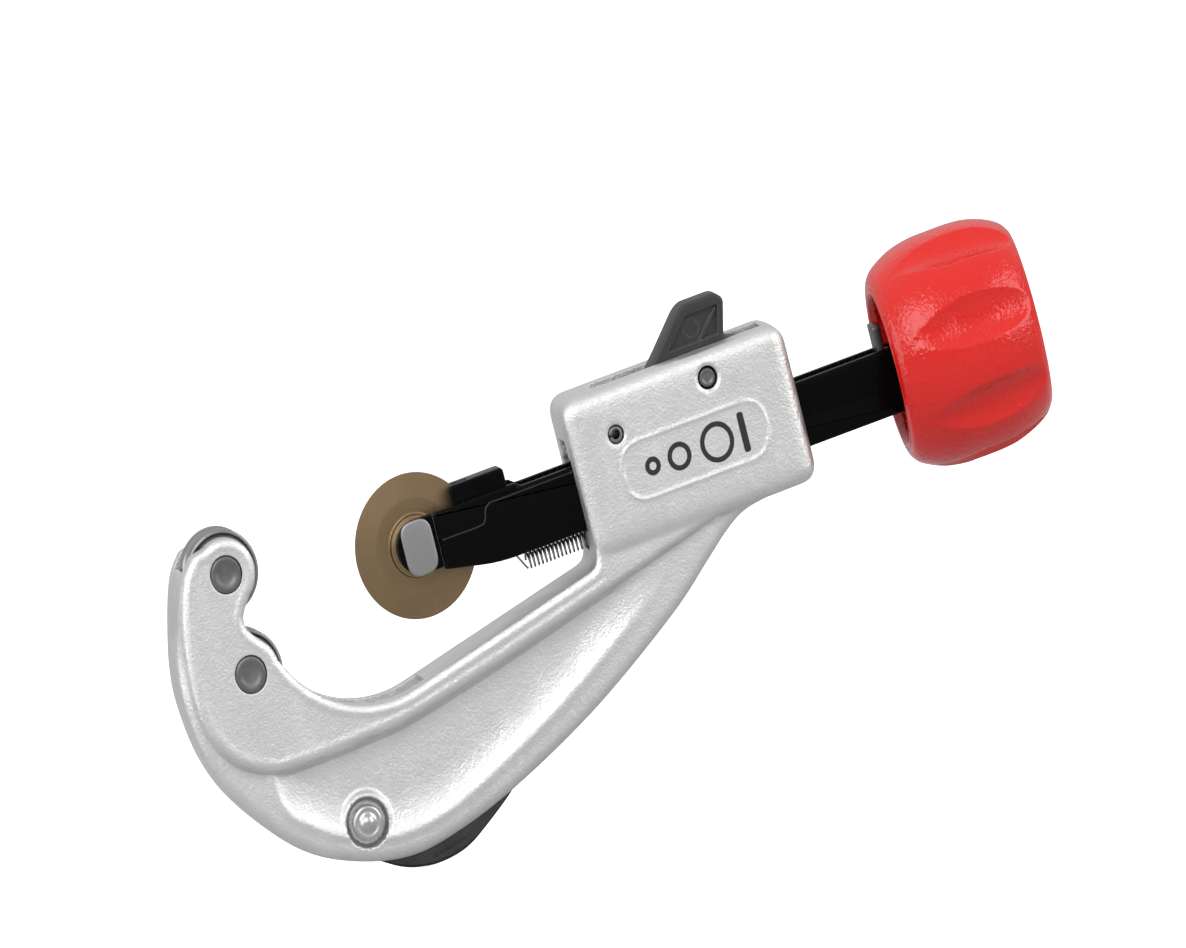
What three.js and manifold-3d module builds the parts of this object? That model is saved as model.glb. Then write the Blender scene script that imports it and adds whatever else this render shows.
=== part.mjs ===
// Quick-acting tube cutter, in millimetres.
//
// The design is drawn with X along the feed screw from the jaw to the knob, Y across the tool and Z up
// towards the latch lever. X = 0, Z = 0 is the cutter wheel's axis at rest and Y = 0 the middle plane.
// At the end the whole group is moved so that its box stands on Z = 0, centred in X and Y.
import * as THREE from "three";
import { mergeVertices } from "three/addons/utils/BufferGeometryUtils.js";
import Module from "manifold-3d";

const wasm = await Module();
wasm.setup();

// ---------------------------------------------------------------- driving dimensions
const CLEAR = 0.3; // gap that touching and sliding pieces keep
const PIN_FIT = 0.2; // radial gap of a pin in its hole

// Cutter wheel and its pin
const WHEEL_RADIUS = 13.2;
const WHEEL_THICKNESS = 1.5;
const WHEEL_HUB_RADIUS = 5.6;
const WHEEL_PIN_RADIUS = 2.5;
const WHEEL_PIN_HEAD_HEIGHT = 10.1;
const WHEEL_PIN_HEAD_WIDTH = 7.1;

// Slide: a channel with a stepped-in fork at its front
const SLIDE_WIDTH = 12;
const SLIDE_WALL = 1.8;
const SLIDE_TOP = 4.97;
const SLIDE_BOTTOM = -7.8;
const SLIDE_REAR = 112;
const FORK_REACH = 4.7; // from the wheel's axis to the fork's front end
const FORK_STEP_X = 4.4; // where the fork's cheeks step in
const FORK_STEP_IN = 1.3;
const FORK_HALF_HEIGHT = 5;
const CHIN_END_X = 16; // where the sloping chin meets the channel's floor

// Guide block at the front of the channel
const BLOCK_FRONT = 9.3;
const BLOCK_LENGTH = 12.2;
const BLOCK_TOP = 8.3;

// Feed screw, bearing plate and washer
const SCREW_RADIUS = 3.5;
const JOURNAL_RADIUS = 2.5;
const PLATE_FRONT = 105;
const PLATE_THICKNESS = 1.7;
const PLATE_TOP = 8.7;
const WASHER_THICKNESS = 0.8;

// Knob
const KNOB_FRONT = 106.6;
const KNOB_LENGTH = 32;
const KNOB_RADIUS = 21.15;
const KNOB_RIM_RADIUS = 17;
const KNOB_WALL = 3.5;
const KNOB_CAVITY_DEPTH = 13.4;
const FLUTE_COUNT = 8;
const FLUTE_LENGTH = 26;
const FLUTE_ANGLE = 34; // degrees of the rim that one flute takes
const FLUTE_DEPTH = 1.4;
const FLUTE_TURN = 12; // degrees by which the first flute stands above the tool's side
const NUT_RADIUS = 5;
const NUT_HEIGHT = 3;

// Housing
const HOUSING_FRONT = 35.5;
const HOUSING_LENGTH = 50.2;
const HOUSING_TOP = 16.15;
const HOUSING_BOTTOM = -13.35;
const HOUSING_WIDTH = 24;
const HOUSING_CORNER = 4;
const HOUSING_ROUND = 2.2; // rounding of the housing's long edges
const HOUSING_REAR_WALL = 3.7;

// Jaw rollers
const ROLLER_RADIUS = 7.8;
const ROLLER_WIDTH = 11.5;
const ROLLER_GAP = 3.1; // between the two rollers' rims
const ROLLER_PIN_RADIUS = 3.5;
const ROLLER_X = -42;
const ROLLER_MIDDLE_Z = -1.05;

// Casting
const CHEEK_WIDTH = 22;
const CHEEK_ROUND = 1.4;
const SPINE_WIDTH = 17;
const SPINE_ROUND = 2.2;
const WEB_WIDTH = 12;
const THROAT_RADIUS = 24.2;
const THROAT_CENTRE = [-13.4, 0.5];
const TIP_RADIUS = 6.6;

// Reamer
const REAMER_PIVOT = [-25.2, -43.5];
const REAMER_THICKNESS = 3.6;
const REAMER_HEEL_RADIUS = 6.2;
const RIVET_HEAD_RADIUS = 3.25;
const RIVET_RADIUS = 1.8;
const RIVET_RECESS_RADIUS = 4.75;
const BOSS_RADIUS = 6.4;
const BOSS_WIDTH = 18;

// Latch
const LEVER_WIDTH = 8.8;
const LATCH_PIN_RADIUS = 1.8;
const LATCH_PIN_FROM_REAR = 18.1; // behind it the housing goes on for this much
const LATCH_PIN_Z = 11.25;
const HALF_NUT_LENGTH = 10;
const STOP_PIN_FROM_FRONT = 10.2;
const STOP_PIN_Z = 7.4;
const STOP_PIN_RADIUS = 1.65;
const STOP_PIN_BORE = 0.8;
const LATCH_SPRING_RADIUS = 1.8;
const LATCH_SPRING_HEIGHT = 3.4;

// Return spring, under the slide
const SPRING_RADIUS = 1.7;
const SPRING_FRONT = 21.7;

// ---------------------------------------------------------------- sizes that follow from them
const inside = SLIDE_WIDTH / 2 - SLIDE_WALL; // half the channel's inner width
const floorTop = SLIDE_BOTTOM + SLIDE_WALL;
const forkOuter = SLIDE_WIDTH / 2 - FORK_STEP_IN;
const forkInner = forkOuter - SLIDE_WALL;
const housingRear = HOUSING_FRONT + HOUSING_LENGTH;
const latchPinX = housingRear - LATCH_PIN_FROM_REAR;
const stopPinX = HOUSING_FRONT + STOP_PIN_FROM_FRONT;
const knobRear = KNOB_FRONT + KNOB_LENGTH;
const rollerOffset = ROLLER_RADIUS + ROLLER_GAP / 2;
const rollerCentres = [
  ["upper", ROLLER_MIDDLE_Z + rollerOffset],
  ["lower", ROLLER_MIDDLE_Z - rollerOffset],
];
const leverSlotWidth = LEVER_WIDTH + 2 * CLEAR;
const springZ = SLIDE_BOTTOM - SPRING_RADIUS - 0.2;
const rad = THREE.MathUtils.degToRad;

// ---------------------------------------------------------------- solids
// A closed geometry as a manifold solid that can be joined and cut.
function solid(geometry) {
  const bare = new THREE.BufferGeometry();
  const source = geometry.index ? geometry.toNonIndexed() : geometry;
  bare.setAttribute("position", source.getAttribute("position"));
  const merged = mergeVertices(bare, 1e-4);
  const index = merged.index.array;
  const faces = [];
  for (let i = 0; i < index.length; i += 3) {
    const [a, b, c] = [index[i], index[i + 1], index[i + 2]];
    if (a !== b && b !== c && c !== a) faces.push(a, b, c);
  }
  return new wasm.Manifold(new wasm.Mesh({
    numProp: 3,
    vertProperties: merged.attributes.position.array,
    triVerts: new Uint32Array(faces),
  }));
}

// The solid's triangles as a geometry with flat faces.
function geometryOf(manifold) {
  const { vertProperties, triVerts, numProp } = manifold.getMesh();
  const positions = new Float32Array(triVerts.length * 3);
  triVerts.forEach((vertex, i) => {
    for (let k = 0; k < 3; k += 1) positions[3 * i + k] = vertProperties[numProp * vertex + k];
  });
  const geometry = new THREE.BufferGeometry();
  geometry.setAttribute("position", new THREE.BufferAttribute(positions, 3));
  geometry.computeVertexNormals();
  return geometry;
}

// A shape drawn in X and Z, extruded across the tool from y0 to y1, with its edges rounded by round.
function across(shape, y0, y1, round = 0, curveSegments = 10) {
  const geometry = new THREE.ExtrudeGeometry(shape, {
    depth: y1 - y0 - 2 * round,
    curveSegments,
    bevelEnabled: round > 0,
    bevelThickness: round,
    bevelSize: round,
    bevelOffset: -round,
    bevelSegments: round > 1 ? 2 : 1,
  });
  geometry.rotateX(Math.PI / 2);
  geometry.translate(0, y1 - round, 0);
  return solid(geometry);
}

function both(shape, halfWidth, round = 0, curveSegments = 10) {
  return across(shape, -halfWidth, halfWidth, round, curveSegments);
}

function box(x0, x1, y0, y1, z0, z1) {
  const geometry = new THREE.BoxGeometry(x1 - x0, y1 - y0, z1 - z0);
  geometry.translate((x0 + x1) / 2, (y0 + y1) / 2, (z0 + z1) / 2);
  return solid(geometry);
}

function rodAcross(x, z, radius, y0, y1, sides = 24) {
  const geometry = new THREE.CylinderGeometry(radius, radius, y1 - y0, sides);
  geometry.translate(x, (y0 + y1) / 2, z);
  return solid(geometry);
}

function rodAlong(x0, x1, radius, z = 0, sides = 24) {
  const geometry = new THREE.CylinderGeometry(radius, radius, x1 - x0, sides);
  geometry.rotateZ(-Math.PI / 2);
  geometry.translate((x0 + x1) / 2, 0, z);
  return solid(geometry);
}

// A body turned about the screw's axis. The profile is a list of [x, radius] points.
function turned(profile, sides) {
  const points = profile.map(([x, radius]) => new THREE.Vector2(radius, x));
  const geometry = new THREE.LatheGeometry(points, sides);
  geometry.rotateZ(-Math.PI / 2);
  return solid(geometry);
}

// A body turned about an axis across the tool. The profile is a list of [y, radius] points.
function turnedAcross(x, z, profile, sides) {
  const points = profile.map(([y, radius]) => new THREE.Vector2(radius, y));
  const geometry = new THREE.LatheGeometry(points, sides);
  geometry.translate(x, 0, z);
  return solid(geometry);
}

function outline(points) {
  return new THREE.Shape(points.map(([x, z]) => new THREE.Vector2(x, z)));
}

const vectors = (points) => points.map(([x, z]) => new THREE.Vector2(x, z));

// A rectangle with rounded corners, drawn counterclockwise.
function rounded(x0, x1, z0, z1, r) {
  const shape = new THREE.Shape();
  shape.moveTo(x0 + r, z0);
  shape.lineTo(x1 - r, z0);
  shape.absarc(x1 - r, z0 + r, r, -Math.PI / 2, 0);
  shape.lineTo(x1, z1 - r);
  shape.absarc(x1 - r, z1 - r, r, 0, Math.PI / 2);
  shape.lineTo(x0 + r, z1);
  shape.absarc(x0 + r, z1 - r, r, Math.PI / 2, Math.PI);
  shape.lineTo(x0, z0 + r);
  shape.absarc(x0 + r, z0 + r, r, Math.PI, 1.5 * Math.PI);
  return shape;
}

const object = new THREE.Group();

function addPart(name, manifold, color, roughness, metalness) {
  const material = new THREE.MeshStandardMaterial({ color, roughness, metalness });
  const mesh = new THREE.Mesh(geometryOf(manifold), material);
  mesh.name = name;
  object.add(mesh);
}

// ---------------------------------------------------------------- casting outlines
// The inner edge, from the housing along the spine, round the throat and both jaw lobes to the tip.
function innerEdge(shape) {
  const [throatX, throatZ] = THROAT_CENTRE;
  const [, upperZ] = rollerCentres[0];
  const [, lowerZ] = rollerCentres[1];
  const [low, high] = [rad(-78.3), rad(-154)];
  shape.moveTo(HOUSING_FRONT + 4.5, HOUSING_BOTTOM + 0.2);
  shape.lineTo(throatX + THROAT_RADIUS * Math.cos(low), throatZ + THROAT_RADIUS * Math.sin(low));
  shape.absarc(throatX, throatZ, THROAT_RADIUS, low, high, true);
  shape.absarc(ROLLER_X, lowerZ, TIP_RADIUS, rad(2), rad(62), false);
  shape.absarc(ROLLER_X, upperZ, TIP_RADIUS, rad(-62), rad(119), false);
}

const backCurve = [
  [-48.5, 13.3],
  [-51.7, 9.6],
  [-54.6, 2.2],
  [-56.6, -5.5],
  [-57, -13],
  [-55.2, -23.5],
  [-50.4, -33],
  [-40.5, -43.9],
  [-30.5, -49.4],
  [-18, -52.3],
  [-5.7, -50.9],
  [9.7, -46.4],
  [29.1, -38.4],
  [49, -27.6],
  [59, -20.6],
  [64.2, -16.6],
];
const ribEdge = [
  [-53.6, -19],
  [-50.5, -23.9],
  [-46.5, -27],
  [-40.6, -29.1],
  [-30.6, -29.3],
  [-20.7, -29.1],
  [-10.8, -28.7],
  [9, -24.8],
  [28.9, -20.5],
  [48.7, -16.4],
  [64, -13.4],
];
const pocketEdge = [
  [-41.8, -32.7],
  [-40.6, -36.2],
  [-38.1, -38.7],
  [-30.7, -43.5],
  [-20.7, -46.7],
  [-10.8, -46.4],
  [-0.9, -43.8],
  [19, -35.8],
  [38.8, -25.8],
  [42.5, -22.6],
];

function spineOutline() {
  const shape = new THREE.Shape();
  innerEdge(shape);
  shape.splineThru(vectors(backCurve));
  shape.lineTo(66, HOUSING_BOTTOM + 0.2);
  return shape;
}

function cheekOutline() {
  const shape = new THREE.Shape();
  innerEdge(shape);
  shape.splineThru(vectors(backCurve.slice(0, 5)));
  shape.lineTo(...ribEdge[0]);
  shape.splineThru(vectors(ribEdge.slice(1, -1)));
  shape.lineTo(...ribEdge.at(-1));
  shape.lineTo(ribEdge.at(-1)[0], HOUSING_BOTTOM + 4);
  shape.lineTo(HOUSING_FRONT + 4.5, HOUSING_BOTTOM + 4);
  return shape;
}

function pocketOutline() {
  const shape = new THREE.Shape();
  const rib = ribEdge.slice(3, -1).map(([x, z]) => [x, z - 1.2]).reverse();
  shape.moveTo(...rib[0]);
  shape.splineThru(vectors(rib.slice(1)));
  shape.splineThru(vectors(pocketEdge));
  return shape;
}

// ---------------------------------------------------------------- frame
function makeFrame() {
  const boss = rodAcross(...REAMER_PIVOT, BOSS_RADIUS, -BOSS_WIDTH / 2, BOSS_WIDTH / 2);
  let body = both(spineOutline(), SPINE_WIDTH / 2, SPINE_ROUND, 4);
  for (const side of [-1, 1]) {
    const [near, far] = side < 0 ? [-SPINE_WIDTH, -WEB_WIDTH / 2] : [WEB_WIDTH / 2, SPINE_WIDTH];
    body = body.subtract(across(pocketOutline(), near, far, 0, 3));
  }
  body = body.add(boss);
  body = body.add(both(cheekOutline(), CHEEK_WIDTH / 2, CHEEK_ROUND, 4));
  const housing = rounded(HOUSING_FRONT, housingRear, HOUSING_BOTTOM, HOUSING_TOP, HOUSING_CORNER);
  body = body.add(both(housing, HOUSING_WIDTH / 2, HOUSING_ROUND, 3));
  for (const cut of [...housingCuts(), ...jawCuts(), ...reamerCuts()]) body = body.subtract(cut);
  return body;
}

// The slide's passage, the guide block's notch, the lever's slot, the spring's groove and the holes.
function housingCuts() {
  const past = 2;
  const front = HOUSING_FRONT - past;
  const rear = housingRear + past;
  const halfPassage = SLIDE_WIDTH / 2 + CLEAR;
  const halfNotch = inside + 0.1;
  const halfSlot = leverSlotWidth / 2;
  const halfSpring = SPRING_RADIUS + 0.4;
  const slotRear = housingRear - HOUSING_REAR_WALL;
  const notchEnd = stopPinX + 4;
  const springFloor = springZ - SPRING_RADIUS - 0.4;
  return [
    box(front, rear, -halfPassage, halfPassage, SLIDE_BOTTOM - CLEAR, SLIDE_TOP + CLEAR),
    box(front, notchEnd, -halfNotch, halfNotch, 0, BLOCK_TOP + 0.4),
    box(stopPinX - 1.7, latchPinX + 5.4, -halfSlot, halfSlot, 0, HOUSING_TOP + past),
    box(latchPinX, slotRear, -halfSlot, halfSlot, springShelf(), HOUSING_TOP + past),
    box(front, slotRear - 1, -halfSpring, halfSpring, springFloor, SLIDE_BOTTOM),
    rodAcross(latchPinX, LATCH_PIN_Z, LATCH_PIN_RADIUS + PIN_FIT, -HOUSING_WIDTH, HOUSING_WIDTH),
    rodAcross(stopPinX, STOP_PIN_Z, STOP_PIN_RADIUS + PIN_FIT, -HOUSING_WIDTH, HOUSING_WIDTH),
  ];
}

function springShelf() {
  return SLIDE_TOP + 3.5;
}

// The slot that the rollers stand in, open to the throat, and the roller pins' holes.
function jawCuts() {
  const halfSlot = ROLLER_WIDTH / 2 + 0.4;
  const room = ROLLER_RADIUS + 1.2;
  const [throatX, throatZ] = THROAT_CENTRE;
  const cuts = rollerCentres.flatMap(([, z]) => [
    rodAcross(ROLLER_X, z, room, -halfSlot, halfSlot, 32),
    rodAcross(ROLLER_X, z, ROLLER_PIN_RADIUS + PIN_FIT, -CHEEK_WIDTH, CHEEK_WIDTH),
  ]);
  const between = box(
    ROLLER_X - 4, ROLLER_X + room + 4, -halfSlot, halfSlot, rollerCentres[1][1], rollerCentres[0][1],
  );
  const ring = rodAcross(throatX, throatZ, THROAT_RADIUS + 4.5, -halfSlot, halfSlot, 48);
  const front = box(-60, -5, -halfSlot, halfSlot, -40, 8);
  return [...cuts, between, ring.intersect(front)];
}

// The slot that the reamer folds into, its rivet's hole and the round recesses of the rivet's heads.
function reamerCuts() {
  const [x, z] = REAMER_PIVOT;
  const halfSlot = REAMER_THICKNESS / 2 + 0.4;
  const heel = REAMER_HEEL_RADIUS + 0.8;
  const edge = outline([
    [x - 13.5, z - 12],
    [x + 36, z - 12],
    [x + 36, z + 0.5],
    [x + 1, z + heel],
    [x - 4, z + heel - 1],
    [x - 13.5, z + 1],
  ]);
  return [
    both(edge, halfSlot),
    rodAcross(x, z, heel, -halfSlot, halfSlot, 32),
    rodAcross(x, z, RIVET_RADIUS + PIN_FIT, -BOSS_WIDTH, BOSS_WIDTH, 24),
    rodAcross(x, z, RIVET_RECESS_RADIUS, -BOSS_WIDTH, -BOSS_WIDTH / 2 + 0.9),
    rodAcross(x, z, RIVET_RECESS_RADIUS, BOSS_WIDTH / 2 - 0.9, BOSS_WIDTH),
  ];
}

// ---------------------------------------------------------------- jaw rollers
// A waisted roller with a bore, as a closed profile round its axis.
function makeRoller(z) {
  const half = ROLLER_WIDTH / 2;
  const bore = ROLLER_PIN_RADIUS + 0.1;
  const profile = [
    [-half, bore],
    [-half, ROLLER_RADIUS - 0.5],
    [-half + 0.5, ROLLER_RADIUS],
    [-1.6, ROLLER_RADIUS],
    [-0.6, ROLLER_RADIUS - 1],
    [0.6, ROLLER_RADIUS - 1],
    [1.6, ROLLER_RADIUS],
    [half - 0.5, ROLLER_RADIUS],
    [half, ROLLER_RADIUS - 0.5],
    [half, bore],
    [-half, bore],
  ];
  return turnedAcross(ROLLER_X, z, profile, 28);
}

function makeRollerPin(z) {
  const half = CHEEK_WIDTH / 2 - 0.1;
  return turnedAcross(ROLLER_X, z, [
    [-half + 0.3, 0],
    [-half, ROLLER_PIN_RADIUS - 0.9],
    [-half, ROLLER_PIN_RADIUS - 0.3],
    [-half + 0.3, ROLLER_PIN_RADIUS],
    [half - 0.3, ROLLER_PIN_RADIUS],
    [half, ROLLER_PIN_RADIUS - 0.3],
    [half, ROLLER_PIN_RADIUS - 0.9],
    [half - 0.3, 0],
  ], 20);
}

// ---------------------------------------------------------------- reamer
function makeReamer() {
  const [x, z] = REAMER_PIVOT;
  const blade = new THREE.Shape();
  blade.absarc(x, z, REAMER_HEEL_RADIUS, rad(80), rad(249), false);
  blade.splineThru(vectors([
    [x + 5.2, z - 10.3],
    [x + 10.5, z - 11.9],
    [x + 15.2, z - 12.15],
    [x + 20.5, z - 11.2],
    [x + 25.5, z - 8.7],
    [x + 31, z - 5.4],
    [x + 33.4, z - 3.6],
  ]));
  blade.lineTo(x + 32.6, z - 2.4);
  blade.quadraticCurveTo(x + 16, z + 2, x + 6, z + 4.6);
  const half = REAMER_THICKNESS / 2;
  const hole = rodAcross(x, z, RIVET_RADIUS + 0.1, -half - 1, half + 1, 24);
  return both(blade, half, 0, 4).subtract(hole);
}

function makeReamerPin() {
  const [x, z] = REAMER_PIVOT;
  const seat = BOSS_WIDTH / 2 - 0.9 + 0.2;
  const side = [
    [seat, RIVET_RADIUS],
    [seat, RIVET_HEAD_RADIUS],
    [seat + 0.7, RIVET_HEAD_RADIUS],
    [seat + 1, RIVET_HEAD_RADIUS - 0.5],
    [seat + 1.1, 1.8],
    [seat + 1.9, 1.1],
    [seat + 2.1, 0],
  ];
  const mirrored = side.map(([y, r]) => [-y, r]).reverse();
  return turnedAcross(x, z, [...mirrored, ...side], 18);
}

// ---------------------------------------------------------------- slide
function makeSlide() {
  const channelSide = outline([
    [FORK_STEP_X, -FORK_HALF_HEIGHT - 0.5],
    [CHIN_END_X, SLIDE_BOTTOM],
    [SLIDE_REAR, SLIDE_BOTTOM],
    [SLIDE_REAR, SLIDE_TOP - 0.9],
    [BLOCK_FRONT + BLOCK_LENGTH + 2.5, SLIDE_TOP - 0.9],
    [BLOCK_FRONT + BLOCK_LENGTH + 1.5, SLIDE_TOP],
    [FORK_STEP_X, SLIDE_TOP],
  ]);
  const forkSide = new THREE.Shape();
  const centre = FORK_HALF_HEIGHT - FORK_REACH;
  forkSide.absarc(centre, 0, FORK_HALF_HEIGHT, rad(90), rad(270), false);
  forkSide.lineTo(FORK_STEP_X + 1, -FORK_HALF_HEIGHT);
  forkSide.lineTo(FORK_STEP_X + 1, FORK_HALF_HEIGHT - 0.1);
  const hollow = box(
    FORK_STEP_X + SLIDE_WALL, SLIDE_REAR + 1, -inside, inside, floorTop, SLIDE_TOP + 1,
  );
  const gap = box(-FORK_REACH - 1, FORK_STEP_X + SLIDE_WALL + 1, -forkInner, forkInner, -30, 30);
  const wheelGap = WHEEL_THICKNESS / 2 + 0.8;
  const wheelSlot = box(0, WHEEL_RADIUS + 0.8, -wheelGap, wheelGap, -30, 0);
  const pinHole = rodAcross(0, 0, WHEEL_PIN_RADIUS + PIN_FIT, -SLIDE_WIDTH, SLIDE_WIDTH, 20);
  return both(channelSide, SLIDE_WIDTH / 2)
    .subtract(hollow)
    .add(both(forkSide, forkOuter))
    .subtract(gap)
    .subtract(wheelSlot)
    .subtract(pinHole);
}

function makeGuideBlock() {
  const half = inside - CLEAR;
  const rear = BLOCK_FRONT + BLOCK_LENGTH;
  const wheelGap = WHEEL_THICKNESS / 2 + 0.6;
  const shape = rounded(BLOCK_FRONT, rear, floorTop + CLEAR, BLOCK_TOP, 0.8);
  return both(shape, half, 0, 3)
    .subtract(box(BLOCK_FRONT - 1, WHEEL_RADIUS + 0.8, -wheelGap, wheelGap, -30, 30))
    .subtract(rodAlong(screwFront() - CLEAR, rear + 1, JOURNAL_RADIUS + PIN_FIT));
}

function screwFront() {
  return WHEEL_RADIUS + 1.9;
}

// ---------------------------------------------------------------- cutter wheel
function makeCutterWheel() {
  const hub = forkInner - CLEAR;
  const half = WHEEL_THICKNESS / 2;
  const bore = WHEEL_PIN_RADIUS + 0.1;
  return turnedAcross(0, 0, [
    [-hub, bore],
    [-hub, WHEEL_HUB_RADIUS],
    [-half, WHEEL_HUB_RADIUS],
    [-half, WHEEL_RADIUS - 2.2],
    [0, WHEEL_RADIUS],
    [half, WHEEL_RADIUS - 2.2],
    [half, WHEEL_HUB_RADIUS],
    [hub, WHEEL_HUB_RADIUS],
    [hub, bore],
    [-hub, bore],
  ], 48);
}

function makeWheelPin() {
  const under = forkOuter + CLEAR;
  const headShape = rounded(
    -WHEEL_PIN_HEAD_WIDTH / 2, WHEEL_PIN_HEAD_WIDTH / 2,
    -WHEEL_PIN_HEAD_HEIGHT / 2, WHEEL_PIN_HEAD_HEIGHT / 2, 1.6,
  );
  const head = across(headShape, -under - 1, -under, 0.25, 4);
  return rodAcross(0, 0, WHEEL_PIN_RADIUS, -under - 0.5, forkOuter + 1.4, 20).add(head);
}

function makeWheelPinClip() {
  const near = forkOuter + CLEAR;
  const inner = WHEEL_PIN_RADIUS + 0.1;
  const outer = FORK_STEP_X - CLEAR;
  const far = near + 0.6;
  return turnedAcross(0, 0, [[near, inner], [near, outer], [far, outer], [far, inner], [near, inner]], 20);
}

// ---------------------------------------------------------------- feed screw and its bearing
function makeFeedScrew() {
  const blockRear = BLOCK_FRONT + BLOCK_LENGTH + CLEAR;
  const shoulder = PLATE_FRONT - CLEAR;
  return turned([
    [screwFront(), 0],
    [screwFront(), JOURNAL_RADIUS],
    [blockRear, JOURNAL_RADIUS],
    [blockRear, SCREW_RADIUS],
    [shoulder, SCREW_RADIUS],
    [shoulder, JOURNAL_RADIUS],
    [knobRear - 1.5, JOURNAL_RADIUS],
    [knobRear - 1.5, 0],
  ], 24);
}

function makeBearingPlate() {
  const half = inside - CLEAR;
  const shape = rounded(-half, half, floorTop + CLEAR, PLATE_TOP, 1);
  const geometry = new THREE.ExtrudeGeometry(shape, {
    depth: PLATE_THICKNESS, bevelEnabled: false, curveSegments: 4,
  });
  geometry.rotateX(Math.PI / 2);
  geometry.rotateZ(Math.PI / 2);
  geometry.translate(PLATE_FRONT, 0, 0);
  const bore = rodAlong(PLATE_FRONT - 3, PLATE_FRONT + 5, JOURNAL_RADIUS + PIN_FIT);
  return solid(geometry).subtract(bore);
}

function ringAlong(x0, x1, inner, outer, sides = 24) {
  return turned([[x0, inner], [x0, outer], [x1, outer], [x1, inner], [x0, inner]], sides);
}

// ---------------------------------------------------------------- knob
function knobProfile() {
  const r = KNOB_RADIUS;
  const at = (share) => KNOB_FRONT + share * KNOB_LENGTH;
  return new THREE.SplineCurve(vectors([
    [at(0.03), KNOB_RIM_RADIUS + 0.4],
    [at(0.2), r - 0.95],
    [at(0.34), r - 0.15],
    [at(0.5), r],
    [at(0.7), r - 0.45],
    [at(0.86), r - 2.1],
    [at(0.97), r - 4.15],
  ])).getPoints(9).map((p) => [p.x, p.y]);
}

// A cup with its mouth towards the tool, a boss inside it that bears on the washer, and a rear recess.
function makeKnob() {
  const mouth = KNOB_RIM_RADIUS - KNOB_WALL;
  const bossFront = PLATE_FRONT + PLATE_THICKNESS + WASHER_THICKNESS + 2 * CLEAR;
  const bossRadius = inside - CLEAR;
  const bore = JOURNAL_RADIUS + 0.1;
  const cavityEnd = KNOB_FRONT + KNOB_CAVITY_DEPTH;
  const recess = NUT_RADIUS + 3;
  const recessFloor = knobRear - NUT_HEIGHT - 4;
  let knob = turned([
    [bossFront, bore],
    [bossFront, bossRadius],
    [cavityEnd, bossRadius],
    [cavityEnd, mouth],
    [KNOB_FRONT, mouth],
    [KNOB_FRONT, KNOB_RIM_RADIUS - 0.8],
    ...knobProfile(),
    [knobRear, KNOB_RADIUS - 5.6],
    [knobRear, recess],
    [recessFloor, recess],
    [recessFloor, bore],
    [bossFront, bore],
  ], 48);
  const flute = new THREE.SphereGeometry(1, 12, 8);
  const halfWidth = KNOB_RADIUS * Math.sin(rad(FLUTE_ANGLE / 2));
  const rise = halfWidth;
  flute.scale(FLUTE_LENGTH / 2 + 1, halfWidth, rise);
  flute.translate(KNOB_FRONT + 0.56 * KNOB_LENGTH, 0, KNOB_RADIUS + rise - FLUTE_DEPTH);
  for (let i = 0; i < FLUTE_COUNT; i += 1) {
    const turn = 90 - FLUTE_TURN + (360 / FLUTE_COUNT) * i;
    knob = knob.subtract(solid(flute.clone().rotateX(rad(turn))));
  }
  return knob;
}

function makeKnobNut() {
  const floor = knobRear - NUT_HEIGHT - 4 + WASHER_THICKNESS + 2 * CLEAR;
  const nut = new THREE.CylinderGeometry(NUT_RADIUS, NUT_RADIUS, NUT_HEIGHT, 6);
  nut.rotateZ(-Math.PI / 2);
  nut.translate(floor + NUT_HEIGHT / 2, 0, 0);
  return solid(nut).subtract(rodAlong(floor - 1, floor + NUT_HEIGHT + 1, JOURNAL_RADIUS + 0.1));
}

// ---------------------------------------------------------------- latch
// The lever stands on its pin, with the thumb piece above the housing and an arm over the half nut.
function makeLatchLever() {
  const x = latchPinX;
  const armFront = halfNutFront();
  const low = leverFloor();
  const shape = outline([
    [armFront, low],
    [x - 7, low],
    [x - 3.4, LATCH_PIN_Z - 4.9],
    [x + 2.6, LATCH_PIN_Z - 4.7],
    [x + 5, LATCH_PIN_Z + 0.6],
    [x + 12.4, LATCH_PIN_Z + 1.4],
    [x + 12.4, LATCH_PIN_Z + 3.2],
    [x + 6.3, HOUSING_TOP + 0.4],
    [x + 8.2, HOUSING_TOP + 7.1],
    [x + 6.6, HOUSING_TOP + 8.45],
    [x - 0.6, HOUSING_TOP + 8.45],
    [x - 2.3, HOUSING_TOP + 7.5],
    [x - 9.4, HOUSING_TOP + 0.5],
    [armFront, low + 3.6],
  ]);
  const pinHole = rodAcross(x, LATCH_PIN_Z, LATCH_PIN_RADIUS + 0.1, -LEVER_WIDTH, LEVER_WIDTH);
  let lever = both(shape, LEVER_WIDTH / 2, 0.35, 2).subtract(pinHole);
  const recess = outline([
    [x - 5.6, HOUSING_TOP + 1.5],
    [x + 4.9, HOUSING_TOP + 1.5],
    [x + 5.9, HOUSING_TOP + 6.4],
    [x - 0.9, HOUSING_TOP + 6.4],
  ]);
  for (const side of [-1, 1]) {
    const [y0, y1] = side < 0 ? [-LEVER_WIDTH, 0.7 - LEVER_WIDTH / 2] : [LEVER_WIDTH / 2 - 0.7, LEVER_WIDTH];
    lever = lever.subtract(across(recess, y0, y1));
  }
  return lever;
}

function halfNutFront() {
  return Math.max(latchPinX - 7.6 - HALF_NUT_LENGTH, stopPinX + STOP_PIN_RADIUS + 2.5);
}

function leverFloor() {
  return SLIDE_TOP + 2 * CLEAR;
}

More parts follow.
